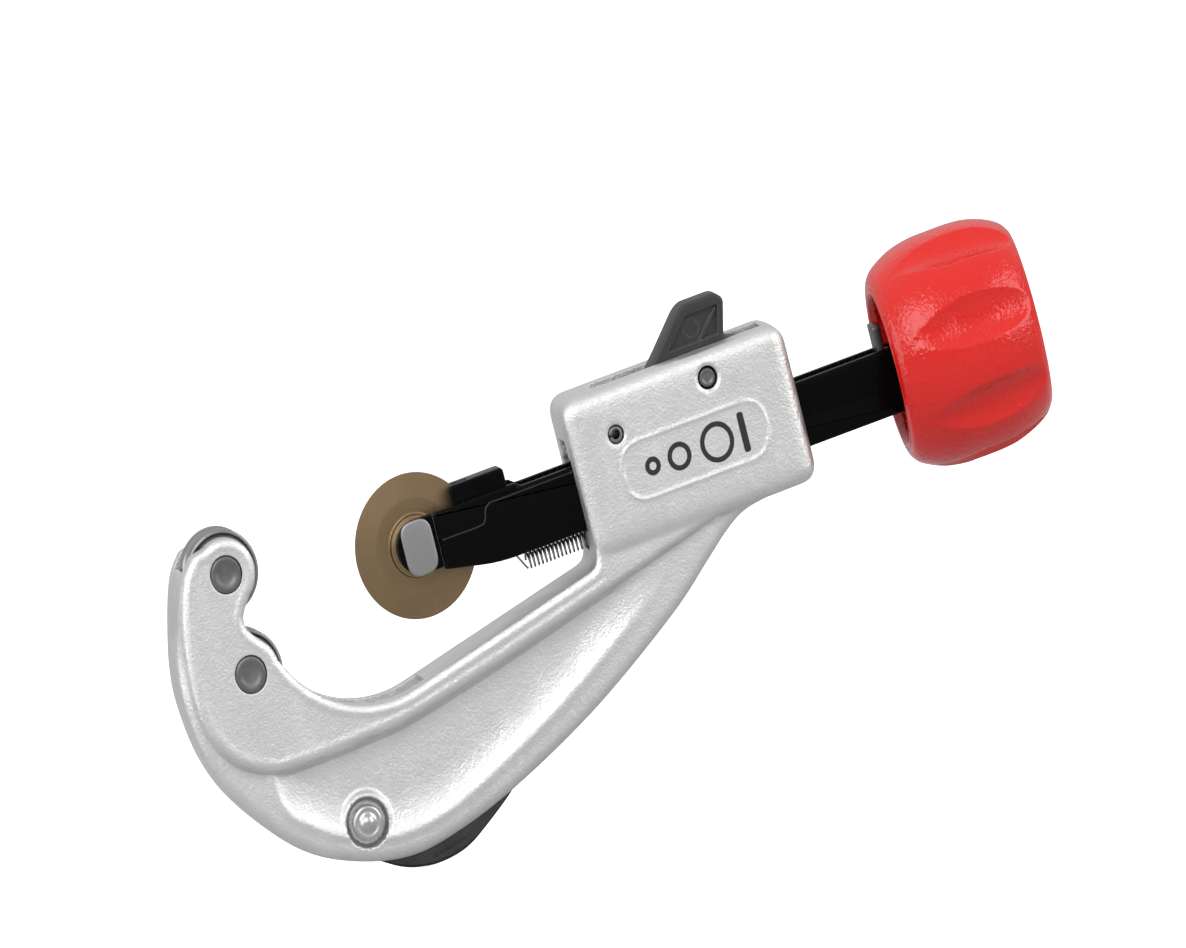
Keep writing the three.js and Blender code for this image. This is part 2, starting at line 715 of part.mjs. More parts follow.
function makeHalfNut() {
  const half = inside - CLEAR;
  const front = halfNutFront();
  const block = box(front, latchPinX - 7.6, -half, half, 1.2, leverFloor() - CLEAR);
  return block.subtract(rodAlong(front - 1, latchPinX, SCREW_RADIUS + CLEAR));
}

function makeLatchPin() {
  const half = HOUSING_WIDTH / 2 - 0.9;
  return rodAcross(latchPinX, LATCH_PIN_Z, LATCH_PIN_RADIUS, -half, half);
}

function makeLatchSpring() {
  const geometry = new THREE.CylinderGeometry(
    LATCH_SPRING_RADIUS, LATCH_SPRING_RADIUS, LATCH_SPRING_HEIGHT, 12,
  );
  geometry.translate(latchPinX + 9.6, 0, springShelf() + 0.1 + LATCH_SPRING_HEIGHT / 2);
  return solid(geometry);
}

function makeStopPin() {
  const half = HOUSING_WIDTH / 2 - 0.4;
  const bore = STOP_PIN_BORE;
  const r = STOP_PIN_RADIUS;
  const x = stopPinX;
  return turnedAcross(x, STOP_PIN_Z, [
    [-half, bore],
    [-half, r - 0.3],
    [-half + 0.4, r],
    [half - 0.4, r],
    [half, r - 0.3],
    [half, bore],
    [-half, bore],
  ], 18);
}

// ---------------------------------------------------------------- the object
const STEEL_DARK = 0x4a4948;
const STEEL_GREY = 0x8f8f8d;
const BLACK = 0x141414;
const ALUMINIUM = 0xc9c9c6;
const BRONZE = 0x7d694b;
const RED = 0xc8281e;

addPart("frame", makeFrame(), ALUMINIUM, 0.45, 0.9);
for (const [name, z] of rollerCentres) {
  addPart(`roller_${name}`, makeRoller(z), STEEL_GREY, 0.3, 1);
  addPart(`roller_pin_${name}`, makeRollerPin(z), STEEL_DARK, 0.4, 0.9);
}
addPart("reamer", makeReamer(), STEEL_DARK, 0.45, 0.8);
addPart("reamer_pin", makeReamerPin(), STEEL_GREY, 0.35, 1);

addPart("slide", makeSlide(), BLACK, 0.35, 0.4);
addPart("guide_block", makeGuideBlock(), BLACK, 0.5, 0.3);
addPart("cutter_wheel", makeCutterWheel(), BRONZE, 0.35, 0.9);
addPart("wheel_pin", makeWheelPin(), 0x9c9b99, 0.4, 0.9);
addPart("wheel_pin_clip", makeWheelPinClip(), STEEL_GREY, 0.35, 1);
addPart("feed_screw", makeFeedScrew(), STEEL_GREY, 0.3, 1);
addPart("bearing_plate", makeBearingPlate(), STEEL_GREY, 0.35, 1);
const washerFront = PLATE_FRONT + PLATE_THICKNESS + CLEAR;
const thrustWasher = ringAlong(
  washerFront, washerFront + WASHER_THICKNESS, JOURNAL_RADIUS + PIN_FIT, inside - CLEAR,
);
addPart("thrust_washer", thrustWasher, STEEL_GREY, 0.3, 1);

addPart("knob", makeKnob(), RED, 0.3, 0.1);
const recessFloor = knobRear - NUT_HEIGHT - 4 + CLEAR;
const knobWasher = ringAlong(
  recessFloor, recessFloor + WASHER_THICKNESS, JOURNAL_RADIUS + PIN_FIT, NUT_RADIUS + 1.5,
);
addPart("knob_washer", knobWasher, STEEL_GREY, 0.3, 1);
addPart("knob_nut", makeKnobNut(), STEEL_GREY, 0.35, 1);

addPart("latch_lever", makeLatchLever(), STEEL_DARK, 0.55, 0.6);
addPart("half_nut", makeHalfNut(), STEEL_GREY, 0.4, 0.9);
addPart("latch_pin", makeLatchPin(), STEEL_DARK, 0.4, 0.9);
addPart("latch_spring", makeLatchSpring(), STEEL_GREY, 0.4, 0.9);
addPart("stop_roll_pin", makeStopPin(), STEEL_GREY, 0.35, 1);
const springRear = housingRear - HOUSING_REAR_WALL - 2;
const returnSpring = rodAlong(SPRING_FRONT, springRear, SPRING_RADIUS, springZ, 12);
addPart("return_spring", returnSpring, STEEL_GREY, 0.35, 1);

// The origin is the middle of the box's bottom.
const bounds = new THREE.Box3().setFromObject(object);
const middle = bounds.getCenter(new THREE.Vector3());
object.position.set(-middle.x, -middle.y, -bounds.min.z);

export default object;
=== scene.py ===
import logging
import math
from dataclasses import dataclass, field
from enum import Enum
from functools import cached_property

import bmesh
import bpy
import numpy as np
from mathutils import Matrix, Vector
from mathutils.geometry import delaunay_2d_cdt


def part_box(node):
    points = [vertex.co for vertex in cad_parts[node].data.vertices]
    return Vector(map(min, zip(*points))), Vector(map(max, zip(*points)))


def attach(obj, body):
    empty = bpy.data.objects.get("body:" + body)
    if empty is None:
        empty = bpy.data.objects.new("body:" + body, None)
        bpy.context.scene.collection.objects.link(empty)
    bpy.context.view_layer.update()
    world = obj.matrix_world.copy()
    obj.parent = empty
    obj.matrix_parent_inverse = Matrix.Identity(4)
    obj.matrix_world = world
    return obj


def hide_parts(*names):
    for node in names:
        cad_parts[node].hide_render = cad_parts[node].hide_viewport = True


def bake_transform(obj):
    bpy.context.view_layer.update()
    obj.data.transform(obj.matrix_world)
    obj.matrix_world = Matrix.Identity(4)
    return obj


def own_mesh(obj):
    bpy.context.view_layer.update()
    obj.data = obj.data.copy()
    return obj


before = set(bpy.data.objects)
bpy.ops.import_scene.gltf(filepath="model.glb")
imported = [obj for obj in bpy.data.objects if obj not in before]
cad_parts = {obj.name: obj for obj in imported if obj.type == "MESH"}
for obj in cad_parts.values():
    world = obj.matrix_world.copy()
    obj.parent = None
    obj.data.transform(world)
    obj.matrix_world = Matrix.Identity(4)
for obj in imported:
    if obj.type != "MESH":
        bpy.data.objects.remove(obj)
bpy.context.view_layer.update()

MM = 0.001
TINY = 1e-9
LOG = logging.getLogger("tube_cutter")

Array = np.ndarray
Faces = list[list[int]]
Feed = float | tuple | list | bpy.types.NodeSocket


def wheel_axis() -> Array:
    """Returns the cutter wheel's centre in the row frame, in metres: the design axes start there."""
    low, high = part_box("cutter_wheel")
    return np.array((low + high) / 2)


ORIGIN = wheel_axis()


def placed(points: Array) -> Array:
    """Moves design points to the row frame.

    Args:
        points: (n, 3) millimetres from the wheel's axis.

    Returns:
        (n, 3) metres: the points scaled by a thousandth and added to the wheel's centre.
    """
    return np.asarray(points, float) * MM + ORIGIN


# ---------------------------------------------------------------- surfaces
class Axis(Enum):
    """The line that a turned body stands on."""

    ALONG = "x"
    ACROSS = "y"
    UPRIGHT = "z"


@dataclass
class Surface:
    """Points in design millimetres and the faces that join them."""

    points: Array
    faces: Faces

    def joined(self, *others: "Surface") -> "Surface":
        """Returns one surface that holds this one's faces and all the others'."""
        points, faces = [self.points], list(self.faces)
        start = len(self.points)
        for other in others:
            points.append(other.points)
            faces += [[start + i for i in face] for face in other.faces]
            start += len(other.points)
        return Surface(np.concatenate(points), faces)

    def capped(self, columns: int) -> "Surface":
        """Returns the surface with a face over its first row of points and one over its last."""
        count = len(self.points)
        first, last = list(range(columns)), list(range(count - columns, count))
        return Surface(self.points, [*self.faces, first, last[::-1]])


def unit(vectors: Array) -> Array:
    """Returns the vectors at length one."""
    return vectors / np.maximum(np.linalg.norm(vectors, axis=-1, keepdims=True), TINY)


def laid(axis: Axis, level: Array, first: Array, second: Array) -> Array:
    """Stacks coordinates as X, Y and Z: level runs along the axis, the other two keep their order."""
    orders = {Axis.ALONG: (level, first, second), Axis.ACROSS: (first, level, second)}
    return np.stack(orders.get(axis, (first, second, level)), -1)


def sheet(grid: Array, close_rows: bool = False, close_columns: bool = True) -> Surface:
    """Joins a grid of points with quads.

    Args:
        grid: (rows, columns, 3) points.
        close_rows: whether the last row joins the first.
        close_columns: whether the last column joins the first.

    Returns:
        The surface. Each quad is a point, the next in its row, the next in the row below, the point below.
    """
    rows, columns = grid.shape[:2]
    i = np.arange(rows if close_rows else rows - 1)[:, None]
    j = np.arange(columns if close_columns else columns - 1)[None, :]
    right, below = (j + 1) % columns, (i + 1) % rows
    corners = [i * columns + j, i * columns + right, below * columns + right, below * columns + j]
    quads = np.stack([c + 0 * (i + j) for c in corners], -1).reshape(-1, 4)
    return Surface(grid.reshape(-1, 3), quads.tolist())


def turned(
    profile: Array,
    axis: Axis,
    centre: tuple[float, float] = (0.0, 0.0),
    segments: int = 48,
    closed: bool = False,
) -> Surface:
    """Turns a profile about an axis.

    Formula: the point at profile station k and angle t is the station's distance along the axis, and its
    radius times the cosine and the sine of t across it.

    Args:
        profile: (n, 2) distance along the axis and radius.
        axis: the line turned about.
        centre: where that line crosses the other two design axes.
        segments: how many points round it.
        closed: whether the profile is a loop that doesn't reach the axis.

    Returns:
        The closed surface.
    """
    along, radius = np.asarray(profile, float).T
    t = np.linspace(0, 2 * np.pi, segments, endpoint=False)
    level = along[:, None] + 0 * t
    first = centre[0] + radius[:, None] * np.cos(t)
    second = centre[1] + radius[:, None] * np.sin(t)
    return sheet(laid(axis, level, first, second), closed)


def softened(corners: Array, radius: float | Array, steps: int = 4, closed: bool = True) -> Array:
    """Rounds the corners of a line.

    Formula: at each corner a quadratic curve runs from a point radius before it to a point radius after
    it, pulled towards the corner itself.

    Args:
        corners: (n, 2) corner points.
        radius: how far before and after each corner the curve starts and ends, one for all or one each.
        steps: how many stretches each curve has.
        closed: whether the line returns to its start.

    Returns:
        (m, 2) points of the rounded line.
    """
    p = np.asarray(corners, float)
    before, after = np.roll(p, 1, 0) - p, np.roll(p, -1, 0) - p
    size = np.minimum(np.linalg.norm(before, axis=1), np.linalg.norm(after, axis=1))
    reach = np.minimum(np.broadcast_to(radius, size.shape), 0.48 * size)[:, None]
    start, end = p + unit(before) * reach, p + unit(after) * reach
    t = np.linspace(0, 1, steps + 1)[None, :, None]
    curves = (1 - t) ** 2 * start[:, None] + 2 * t * (1 - t) * p[:, None] + t**2 * end[:, None]
    if closed:
        return curves.reshape(-1, 2)
    return np.concatenate([p[:1], curves[1:-1].reshape(-1, 2), p[-1:]])


def arc(centre: tuple[float, float], radius: float, start: float, end: float, steps: int) -> Array:
    """Returns points of a circle from one angle to another, in degrees, both ends included."""
    t = np.radians(np.linspace(start, end, steps + 1))
    return np.stack([centre[0] + radius * np.cos(t), centre[1] + radius * np.sin(t)], -1)


def through(points: Array, steps: int = 8) -> Array:
    """Draws a smooth line through points.

    Formula: between two points the line is the cubic whose slopes there are half the step between each
    point's neighbours, with the end points standing in for the neighbours they lack.

    Args:
        points: (n, 2) points to pass.
        steps: how many stretches between two of them.

    Returns:
        (m, 2) points, both ends included.
    """
    p = np.asarray(points, float)
    q = np.concatenate([p[:1], p, p[-1:]])
    a, b, c, d = (q[i : len(q) - 3 + i][:, None] for i in range(4))
    t = np.linspace(0, 1, steps, endpoint=False)[None, :, None]
    rise, fall = (c - a) / 2, (d - b) / 2
    cubic = (2 * b - 2 * c + rise + fall) * t**3 + (3 * c - 3 * b - 2 * rise - fall) * t**2 + rise * t + b
    return np.concatenate([cubic.reshape(-1, 2), p[-1:]])


def evenly(line: Array, step: float) -> Array:
    """Spaces points evenly along a closed line.

    Args:
        line: (n, 2) points of the line, the last joining the first.
        step: wanted distance between points.

    Returns:
        (m, 2) points, each at an equal share of the line's length.
    """
    ring = np.concatenate([line, line[:1]])
    run = np.concatenate([[0], np.cumsum(np.linalg.norm(np.diff(ring, axis=0), axis=1))])
    count = max(8, int(round(run[-1] / step)))
    at = np.linspace(0, run[-1], count, endpoint=False)
    return np.stack([np.interp(at, run, ring[:, k]) for k in (0, 1)], -1)


def inset(outline: Array, distance: float) -> Array:
    """Moves a closed line inwards.

    Formula: each point moves along the mean of the two neighbouring stretches' inward normals, divided by
    the cosine of half the turn, so that both stretches move by the distance.

    Args:
        outline: (n, 2) points, counterclockwise.
        distance: how far inwards.

    Returns:
        (n, 2) moved points.
    """
    ahead = unit(np.roll(outline, -1, 0) - outline)
    normal = np.stack([-ahead[:, 1], ahead[:, 0]], -1)
    mean = unit(normal + np.roll(normal, 1, 0))
    half_turn = np.maximum((mean * normal).sum(1), 0.4)
    return outline + mean * (distance / half_turn)[:, None]


def slab(
    outline: Array, low: float, high: float, edge: float = 0.3, axis: Axis = Axis.ACROSS, steps: int = 3
) -> Surface:
    """Carries a closed outline across the tool, with both its rims rounded.

    Formula: ring k is the outline moved inwards by edge times one less the sine of its angle, at a depth of
    edge times one less the cosine, and the angle runs from 0 to a right angle at each side.

    Args:
        outline: (n, 2) counterclockwise points: X and Z across, or Y and Z along.
        low: where the first flat side stands.
        high: where the second one does.
        edge: radius of the rims.
        axis: the direction from low to high.
        steps: how many stretches each rim has.

    Returns:
        The closed surface.
    """
    a = np.linspace(0, np.pi / 2, steps + 1) if edge > 0 else np.array([np.pi / 2])
    inwards = edge * (1 - np.sin(a))
    depth = edge * (1 - np.cos(a)) if edge > 0 else np.zeros(1)
    rings = [inset(outline, d) for d in np.concatenate([inwards, inwards[::-1]])]
    levels = np.concatenate([low + depth, (high - depth)[::-1]])
    flat = np.stack(rings)
    level = levels[:, None] + 0 * flat[..., 0]
    return sheet(laid(axis, level, flat[..., 0], flat[..., 1])).capped(flat.shape[1])


def rectangle(x0: float, x1: float, z0: float, z1: float, radius: float = 0.0, steps: int = 4) -> Array:
    """Returns a counterclockwise rectangle, its corners rounded if a radius is given."""
    corners = np.array([[x0, z0], [x1, z0], [x1, z1], [x0, z1]])
    return softened(corners, radius, steps) if radius else corners


def block(x: tuple[float, float], y: tuple[float, float], z: tuple[float, float], edge: float = 0.0) -> Surface:
    """Returns a box between the given limits, its rims across the tool rounded by edge."""
    return slab(rectangle(*x, *z), *y, edge)


def rod(axis: Axis, centre: tuple[float, float], radius: float, low: float, high: float, sides: int = 48) -> Surface:
    """Returns a plain round rod with flat ends."""
    profile = [[low, 0], [low, radius], [high, radius], [high, 0]]
    return turned(np.array(profile), axis, centre, sides)


def ring(
    axis: Axis, centre: tuple[float, float], radii: tuple[float, float], ends: tuple[float, float],
    soft: float = 0.0, steps: int = 2, sides: int = 48,
) -> Surface:
    """Returns a ring between two radii and two ends, its corners rounded by soft in that many steps."""
    (inner, outer), (low, high) = radii, ends
    loop = np.array([[low, inner], [low, outer], [high, outer], [high, inner]])
    return turned(softened(loop, soft, steps) if soft else loop, axis, centre, sides, closed=True)


def mirrored(half: Array) -> Array:
    """Returns a profile that goes on from its last point, on the middle plane, to its own mirror image."""
    return np.concatenate([half, (half * [-1, 1])[::-1][1:]])


def tube(path: Array, across: Array, radius: float, sides: int = 8) -> Surface:
    """Carries a circle along a path, as wire, with a closed end at each side.

    Formula: at each path point the circle lies in the plane of one direction across the path and of that
    direction's cross product with the path's own direction.

    Args:
        path: (n, 3) points of the wire's middle line.
        across: a direction that doesn't lie along the path, one for all or (n, 3).
        radius: half the wire's thickness.
        sides: how many points round the wire.

    Returns:
        The closed surface.
    """
    ahead = unit(np.gradient(path, axis=0))
    first = unit(across - ahead * (across * ahead).sum(1)[:, None])
    second = np.cross(ahead, first)
    t = np.linspace(0, 2 * np.pi, sides, endpoint=False)[None, :, None]
    rings = path[:, None] + radius * (np.cos(t) * first[:, None] + np.sin(t) * second[:, None])
    return sheet(rings).capped(sides)


def coil(
    axis: Axis, at: tuple[float, float], low: float, high: float, radius: float, wire: float, pitch: float
) -> Surface:
    """Winds a spring.

    Formula: the wire's middle line goes forward by one pitch in each turn, at the coil's radius less half
    the wire.

    Args:
        axis: the spring's own axis.
        at: where that axis crosses the other two design axes.
        low: where the spring starts.
        high: where it ends.
        radius: outer radius.
        wire: thickness of the wire.
        pitch: distance between turns.

    Returns:
        The closed surface.
    """
    turns = (high - low - wire) / pitch
    t = np.linspace(0, 2 * np.pi * turns, int(turns * 18) + 2)
    level = low + wire / 2 + (high - low - wire) * t / t[-1]
    middle = radius - wire / 2
    out = np.stack([np.cos(t), np.sin(t)], -1)
    spot = np.array(at) + middle * out
    return tube(laid(axis, level, *spot.T), laid(axis, 0 * t, *out.T), wire / 2, 7)


# ---------------------------------------------------------------- meshes and pieces
def mesh_of(name: str, surface: Surface) -> bpy.types.Object:
    """Makes a mesh object of a surface, its doubles merged and its faces turned outwards.

    Args:
        name: the object's name.
        surface: what to build.

    Returns:
        The object, linked to the scene.
    """
    mesh = bpy.data.meshes.new(name)
    mesh.from_pydata(placed(surface.points).tolist(), [], surface.faces)
    work = bmesh.new()
    work.from_mesh(mesh)
    bmesh.ops.remove_doubles(work, verts=work.verts, dist=1e-7)
    bmesh.ops.dissolve_degenerate(work, edges=work.edges, dist=1e-8)
    bmesh.ops.recalc_face_normals(work, faces=work.faces)
    work.to_mesh(mesh)
    work.free()
    made = bpy.data.objects.new(name, mesh)
    bpy.context.scene.collection.objects.link(made)
    return made


def settle(made: bpy.types.Object) -> None:
    """Applies the object's modifiers to its mesh."""
    bpy.context.view_layer.update()
    final = bpy.data.meshes.new_from_object(made.evaluated_get(bpy.context.evaluated_depsgraph_get()))
    made.modifiers.clear()
    made.data = final


class Join(Enum):
    """How a second solid is combined with the first."""

    CUT = "DIFFERENCE"
    ADD = "UNION"


def combine(made: bpy.types.Object, others: list[Surface], join: Join = Join.CUT) -> None:
    """Cuts surfaces out of an object, or adds them to it, in order."""
    tools = [mesh_of(f"tool_{i}", other) for i, other in enumerate(others)]
    for tool in tools:
        step = made.modifiers.new("combine", "BOOLEAN")
        step.operation = join.value
        step.solver = "MANIFOLD"
        step.object = tool
    settle(made)
    for tool in tools:
        spare = tool.data
        bpy.data.objects.remove(tool)
        bpy.data.meshes.remove(spare)


def eased(made: bpy.types.Object, width: float, segments: int = 2, angle: float = 35.0) -> None:
    """Bevels every edge sharper than an angle in degrees by a width in millimetres."""
    step = made.modifiers.new("ease", "BEVEL")
    step.width = width * MM
    step.segments = segments
    step.limit_method = "ANGLE"
    step.angle_limit = math.radians(angle)
    step.use_clamp_overlap = True
    settle(made)


def smoothed(made: bpy.types.Object, angle: float = 35.0) -> None:
    """Shades the mesh smooth, except at edges sharper than an angle in degrees."""
    made.data.shade_smooth()
    made.data.set_sharp_from_angle(angle=math.radians(angle))


# ---------------------------------------------------------------- effects that materials share
class Graph:
    """A node tree with a short way to place nodes in it."""

    def __init__(self, tree: bpy.types.NodeTree) -> None:
        """Keeps the tree."""
        self.tree = tree

    def feed(self, node: bpy.types.Node, feeds: dict[str | int, Feed]) -> None:
        """Fills a node's inputs, by name or number: a socket is linked, any other value is held."""
        for socket, value in feeds.items():
            if isinstance(value, bpy.types.NodeSocket):
                self.tree.links.new(value, node.inputs[socket])
            else:
                node.inputs[socket].default_value = value

    def node(self, kind: str, feeds: dict[str | int, Feed] | None = None, **settings: object) -> bpy.types.Node:
        """Places a node.

        Args:
            kind: the node's type.
            feeds: what its inputs get.
            settings: its own settings.

        Returns:
            The node.
        """
        made = self.tree.nodes.new(f"ShaderNode{kind}")
        for name, value in settings.items():
            setattr(made, name, value)
        self.feed(made, feeds or {})
        return made


class Effects:
    """The node groups that materials share, each built when one is first asked for."""

    @staticmethod
    def group(
        name: str, inputs: dict[str, Feed | None], outputs: dict[str, str]
    ) -> tuple[Graph, bpy.types.NodeOutputs, bpy.types.Node]:
        """Starts a node group with named sockets.

        Args:
            name: the group's name.
            inputs: each input's default: None for a vector, a tuple for a colour, else a number.
            outputs: each output's kind.

        Returns:
            The graph, the sockets that carry the inputs, and the node that takes the outputs.
        """
        tree = bpy.data.node_groups.new(name, "ShaderNodeTree")
        for label, default in inputs.items():
            kind = "Vector" if default is None else "Color" if isinstance(default, tuple) else "Float"
            made = tree.interface.new_socket(label, in_out="INPUT", socket_type=f"NodeSocket{kind}")
            if default is not None:
                made.default_value = default
        for label, kind in outputs.items():
            tree.interface.new_socket(label, in_out="OUTPUT", socket_type=f"NodeSocket{kind}")
        return Graph(tree), tree.nodes.new("NodeGroupInput").outputs, tree.nodes.new("NodeGroupOutput")

    @cached_property
    def grain(self) -> bpy.types.NodeTree:
        """The cast grain: fine noise over broad noise as a height, and slow patches as a mask."""
        graph, given, end = self.group(
            "cast_grain",
            {"Vector": None, "Fine Scale": 3000.0, "Broad Scale": 400.0, "Broad Share": 0.4, "Patch Scale": 60.0},
            {"Height": "Float", "Patches": "Float"},
        )
        fine, broad, patch = (
            graph.node("TexNoise", {"Vector": given["Vector"], "Scale": given[scale], "Detail": detail}).outputs[0]
            for scale, detail in (("Fine Scale", 3.0), ("Broad Scale", 2.0), ("Patch Scale", 4.0))
        )
        height = graph.node("Mix", {0: given["Broad Share"], 2: fine, 3: broad})
        patches = graph.node("MapRange", {"Value": patch, "From Min": 0.3, "From Max": 0.7})
        graph.feed(end, {"Height": height.outputs[0], "Patches": patches.outputs[0]})
        return graph.tree

    @cached_property
    def rings(self) -> bpy.types.NodeTree:
        """Turning marks: a wave of the distance from the Y axis, as a height."""
        graph, given, end = self.group(
            "turned_rings", {"Vector": None, "Spacing": 0.0004, "Uneven": 0.6}, {"Height": "Float"})
        flat = graph.node("VectorMath", {0: given["Vector"], 1: (1, 0, 1)}, operation="MULTIPLY")
        far = graph.node("VectorMath", {0: flat.outputs[0]}, operation="LENGTH")
        count = graph.node("Math", {0: far.outputs["Value"], 1: given["Spacing"]}, operation="DIVIDE")
        wave = graph.node("TexNoise", {
            "W": count.outputs[0], "Scale": 1.0, "Detail": 2.0, "Roughness": given["Uneven"],
        }, noise_dimensions="1D")
        graph.feed(end, {"Height": wave.outputs[0]})
        return graph.tree

    @cached_property
    def wear_and_highlight(self) -> bpy.types.NodeTree:
        """Edge wear and painted highlight: a lighter colour where the rounded normal leaves the true one, standing
        partly for worn edges and partly for edges catching the light, and that rounded normal.
        """
        graph, given, end = self.group(
            "edge_wear_and_highlight",
            {"Colour": (0.5, 0.5, 0.5, 1), "Wear And Highlight Colour": (0.8, 0.8, 0.8, 1), "Radius": 0.0004, "Amount": 0.5},
            {"Colour": "Color", "Normal": "Vector"},
        )
        soft = graph.node("Bevel", {"Radius": given["Radius"]}, samples=4)
        true = graph.node("NewGeometry").outputs["Normal"]
        turn = graph.node("VectorMath", {0: soft.outputs[0], 1: true}, operation="DOT_PRODUCT")
        mask = graph.node("MapRange", {
            "Value": turn.outputs["Value"], "From Min": 0.99, "From Max": 0.8, "To Max": given["Amount"]})
        mix = graph.node("Mix", data_type="RGBA")
        graph.feed(mix, {0: mask.outputs[0], 6: given["Colour"], 7: given["Wear And Highlight Colour"]})
        graph.feed(end, {"Colour": mix.outputs[2], "Normal": soft.outputs[0]})
        return graph.tree

    @cached_property
    def marks(self) -> bpy.types.NodeTree:
        """Handling marks: specks and short wipes as a mask that dulls a finish."""
        graph, given, end = self.group(
            "handling_marks", {"Vector": None, "Scale": 250.0, "Amount": 0.5}, {"Mask": "Float"})
        wiped = graph.node("Mapping", {
            "Vector": given["Vector"], "Scale": (1.0, 1.0, 0.18), "Rotation": (0.0, 1.1, 0.0)})
        noise = graph.node("TexNoise", {
            "Vector": wiped.outputs[0], "Scale": given["Scale"], "Detail": 6.0, "Roughness": 0.7})
        mask = graph.node("MapRange", {
            "Value": noise.outputs[0], "From Min": 0.5, "From Max": 0.75, "To Max": given["Amount"]})
        graph.feed(end, {"Mask": mask.outputs[0]})
        return graph.tree


EFFECTS = Effects()


@dataclass(frozen=True)
class Finish:
    """A surface finish: its colour, how it shines, and how strongly each shared effect shows.

    Heights, radii and spacings are in millimetres, and scales are noise cells in each metre. Rings lie round
    the cutter wheel's axis.
    """

    name: str
    slot: str
    colour: tuple[float, float, float]
    metallic: float = 0.0
    roughness: float = 0.4
    specular: float = 0.5
    coat: float = 0.0
    coat_roughness: float = 0.1
    grain: float = 0.0
    fine_scale: float = 3000.0
    broad_scale: float = 500.0
    broad_share: float = 0.5
    patch: float = 0.0
    patch_scale: float = 60.0
    patch_colour: tuple[float, float, float] = (0.5, 0.5, 0.5)
    rough_swing: float = 0.0
    wear_and_highlight_colour: tuple[float, float, float] = (0.7, 0.7, 0.7)
    wear_and_highlight: float = 0.0
    wear_and_highlight_radius: float = 0.35
    marks: float = 0.0
    marks_scale: float = 250.0
    ring_height: float = 0.0
    ring_spacing: float = 0.4

    def material(self) -> bpy.types.Material:
        """Builds the material once and returns it afterwards.

        Returns:
            The material: grain and rings make its bump; patches and lighter edges, partly wear and partly painted
                highlight, make its colour; marks make its roughness.
        """
        label = f"{self.name}_finish"
        if label in bpy.data.materials:
            return bpy.data.materials[label]
        made = bpy.data.materials.new(label)
        made.use_nodes = True
        graph = Graph(made.node_tree)
        place = graph.node("TexCoord").outputs["Object"]

        grain = graph.node("Group", node_tree=EFFECTS.grain)
        graph.feed(grain, {"Vector": place, "Fine Scale": self.fine_scale, "Broad Scale": self.broad_scale,
                           "Broad Share": self.broad_share, "Patch Scale": self.patch_scale})
        patches = grain.outputs["Patches"]
        share = graph.node("Math", {0: patches, 1: self.patch}, operation="MULTIPLY")
        tint = graph.node("Mix", data_type="RGBA")
        graph.feed(tint, {0: share.outputs[0], 6: (*self.colour, 1), 7: (*self.patch_colour, 1)})
        colour, normal = tint.outputs[2], None
        # Lighter colour at rounded edges: partly edge wear, partly a painted highlight where edges would catch the
        # light.
        if self.wear_and_highlight > 0:
            wear_and_highlight = graph.node("Group", node_tree=EFFECTS.wear_and_highlight)
            graph.feed(wear_and_highlight, {"Colour": colour, "Wear And Highlight Colour": (*self.wear_and_highlight_colour, 1),
                              "Radius": self.wear_and_highlight_radius * MM, "Amount": self.wear_and_highlight})
            colour, normal = wear_and_highlight.outputs["Colour"], wear_and_highlight.outputs["Normal"]

        marks = graph.node("Group", node_tree=EFFECTS.marks)
        graph.feed(marks, {"Vector": place, "Scale": self.marks_scale, "Amount": self.marks})
        smooth, dull = self.roughness - self.rough_swing, self.roughness + self.rough_swing
        swing = graph.node("MapRange", {"Value": patches, "To Min": smooth, "To Max": dull})
        rough = graph.node("Math", operation="ADD", use_clamp=True)
        graph.feed(rough, {0: swing.outputs[0], 1: marks.outputs["Mask"]})

        if self.ring_height > 0:
            centred = graph.node("Mapping", {"Vector": place, "Location": [-c for c in ORIGIN]})
            rings = graph.node("Group", node_tree=EFFECTS.rings)
            graph.feed(rings, {"Vector": centred.outputs[0], "Spacing": self.ring_spacing * MM})
            normal = self.bumped(graph, rings.outputs["Height"], self.ring_height, normal)
        normal = self.bumped(graph, grain.outputs["Height"], self.grain, normal)
        graph.feed(made.node_tree.nodes["Principled BSDF"], {
            "Base Color": colour, "Roughness": rough.outputs[0], "Normal": normal,
            "Metallic": self.metallic, "Specular IOR Level": self.specular,
            "Coat Weight": self.coat, "Coat Roughness": self.coat_roughness})
        return made

    @staticmethod
    def bumped(
        graph: Graph, height: bpy.types.NodeSocket, depth: float, normal: bpy.types.NodeSocket | None
    ) -> bpy.types.NodeSocket:
        """Returns the normal with a bump of that depth over it."""
        bump = graph.node("Bump", {"Height": height, "Distance": depth * MM})
        if normal:
            graph.feed(bump, {"Normal": normal})
        return bump.outputs[0]


CAST = Finish(
    "cast_aluminium", "cast_aluminium", (0.74, 0.74, 0.735), 1.0, 0.47, grain=0.2, fine_scale=2200.0,
    broad_scale=700.0, broad_share=0.45, patch=0.5, patch_scale=160.0, patch_colour=(0.56, 0.565, 0.57),
    rough_swing=0.08, wear_and_highlight_colour=(0.86, 0.86, 0.86), wear_and_highlight=0.4, wear_and_highlight_radius=0.5, marks=0.12,
)
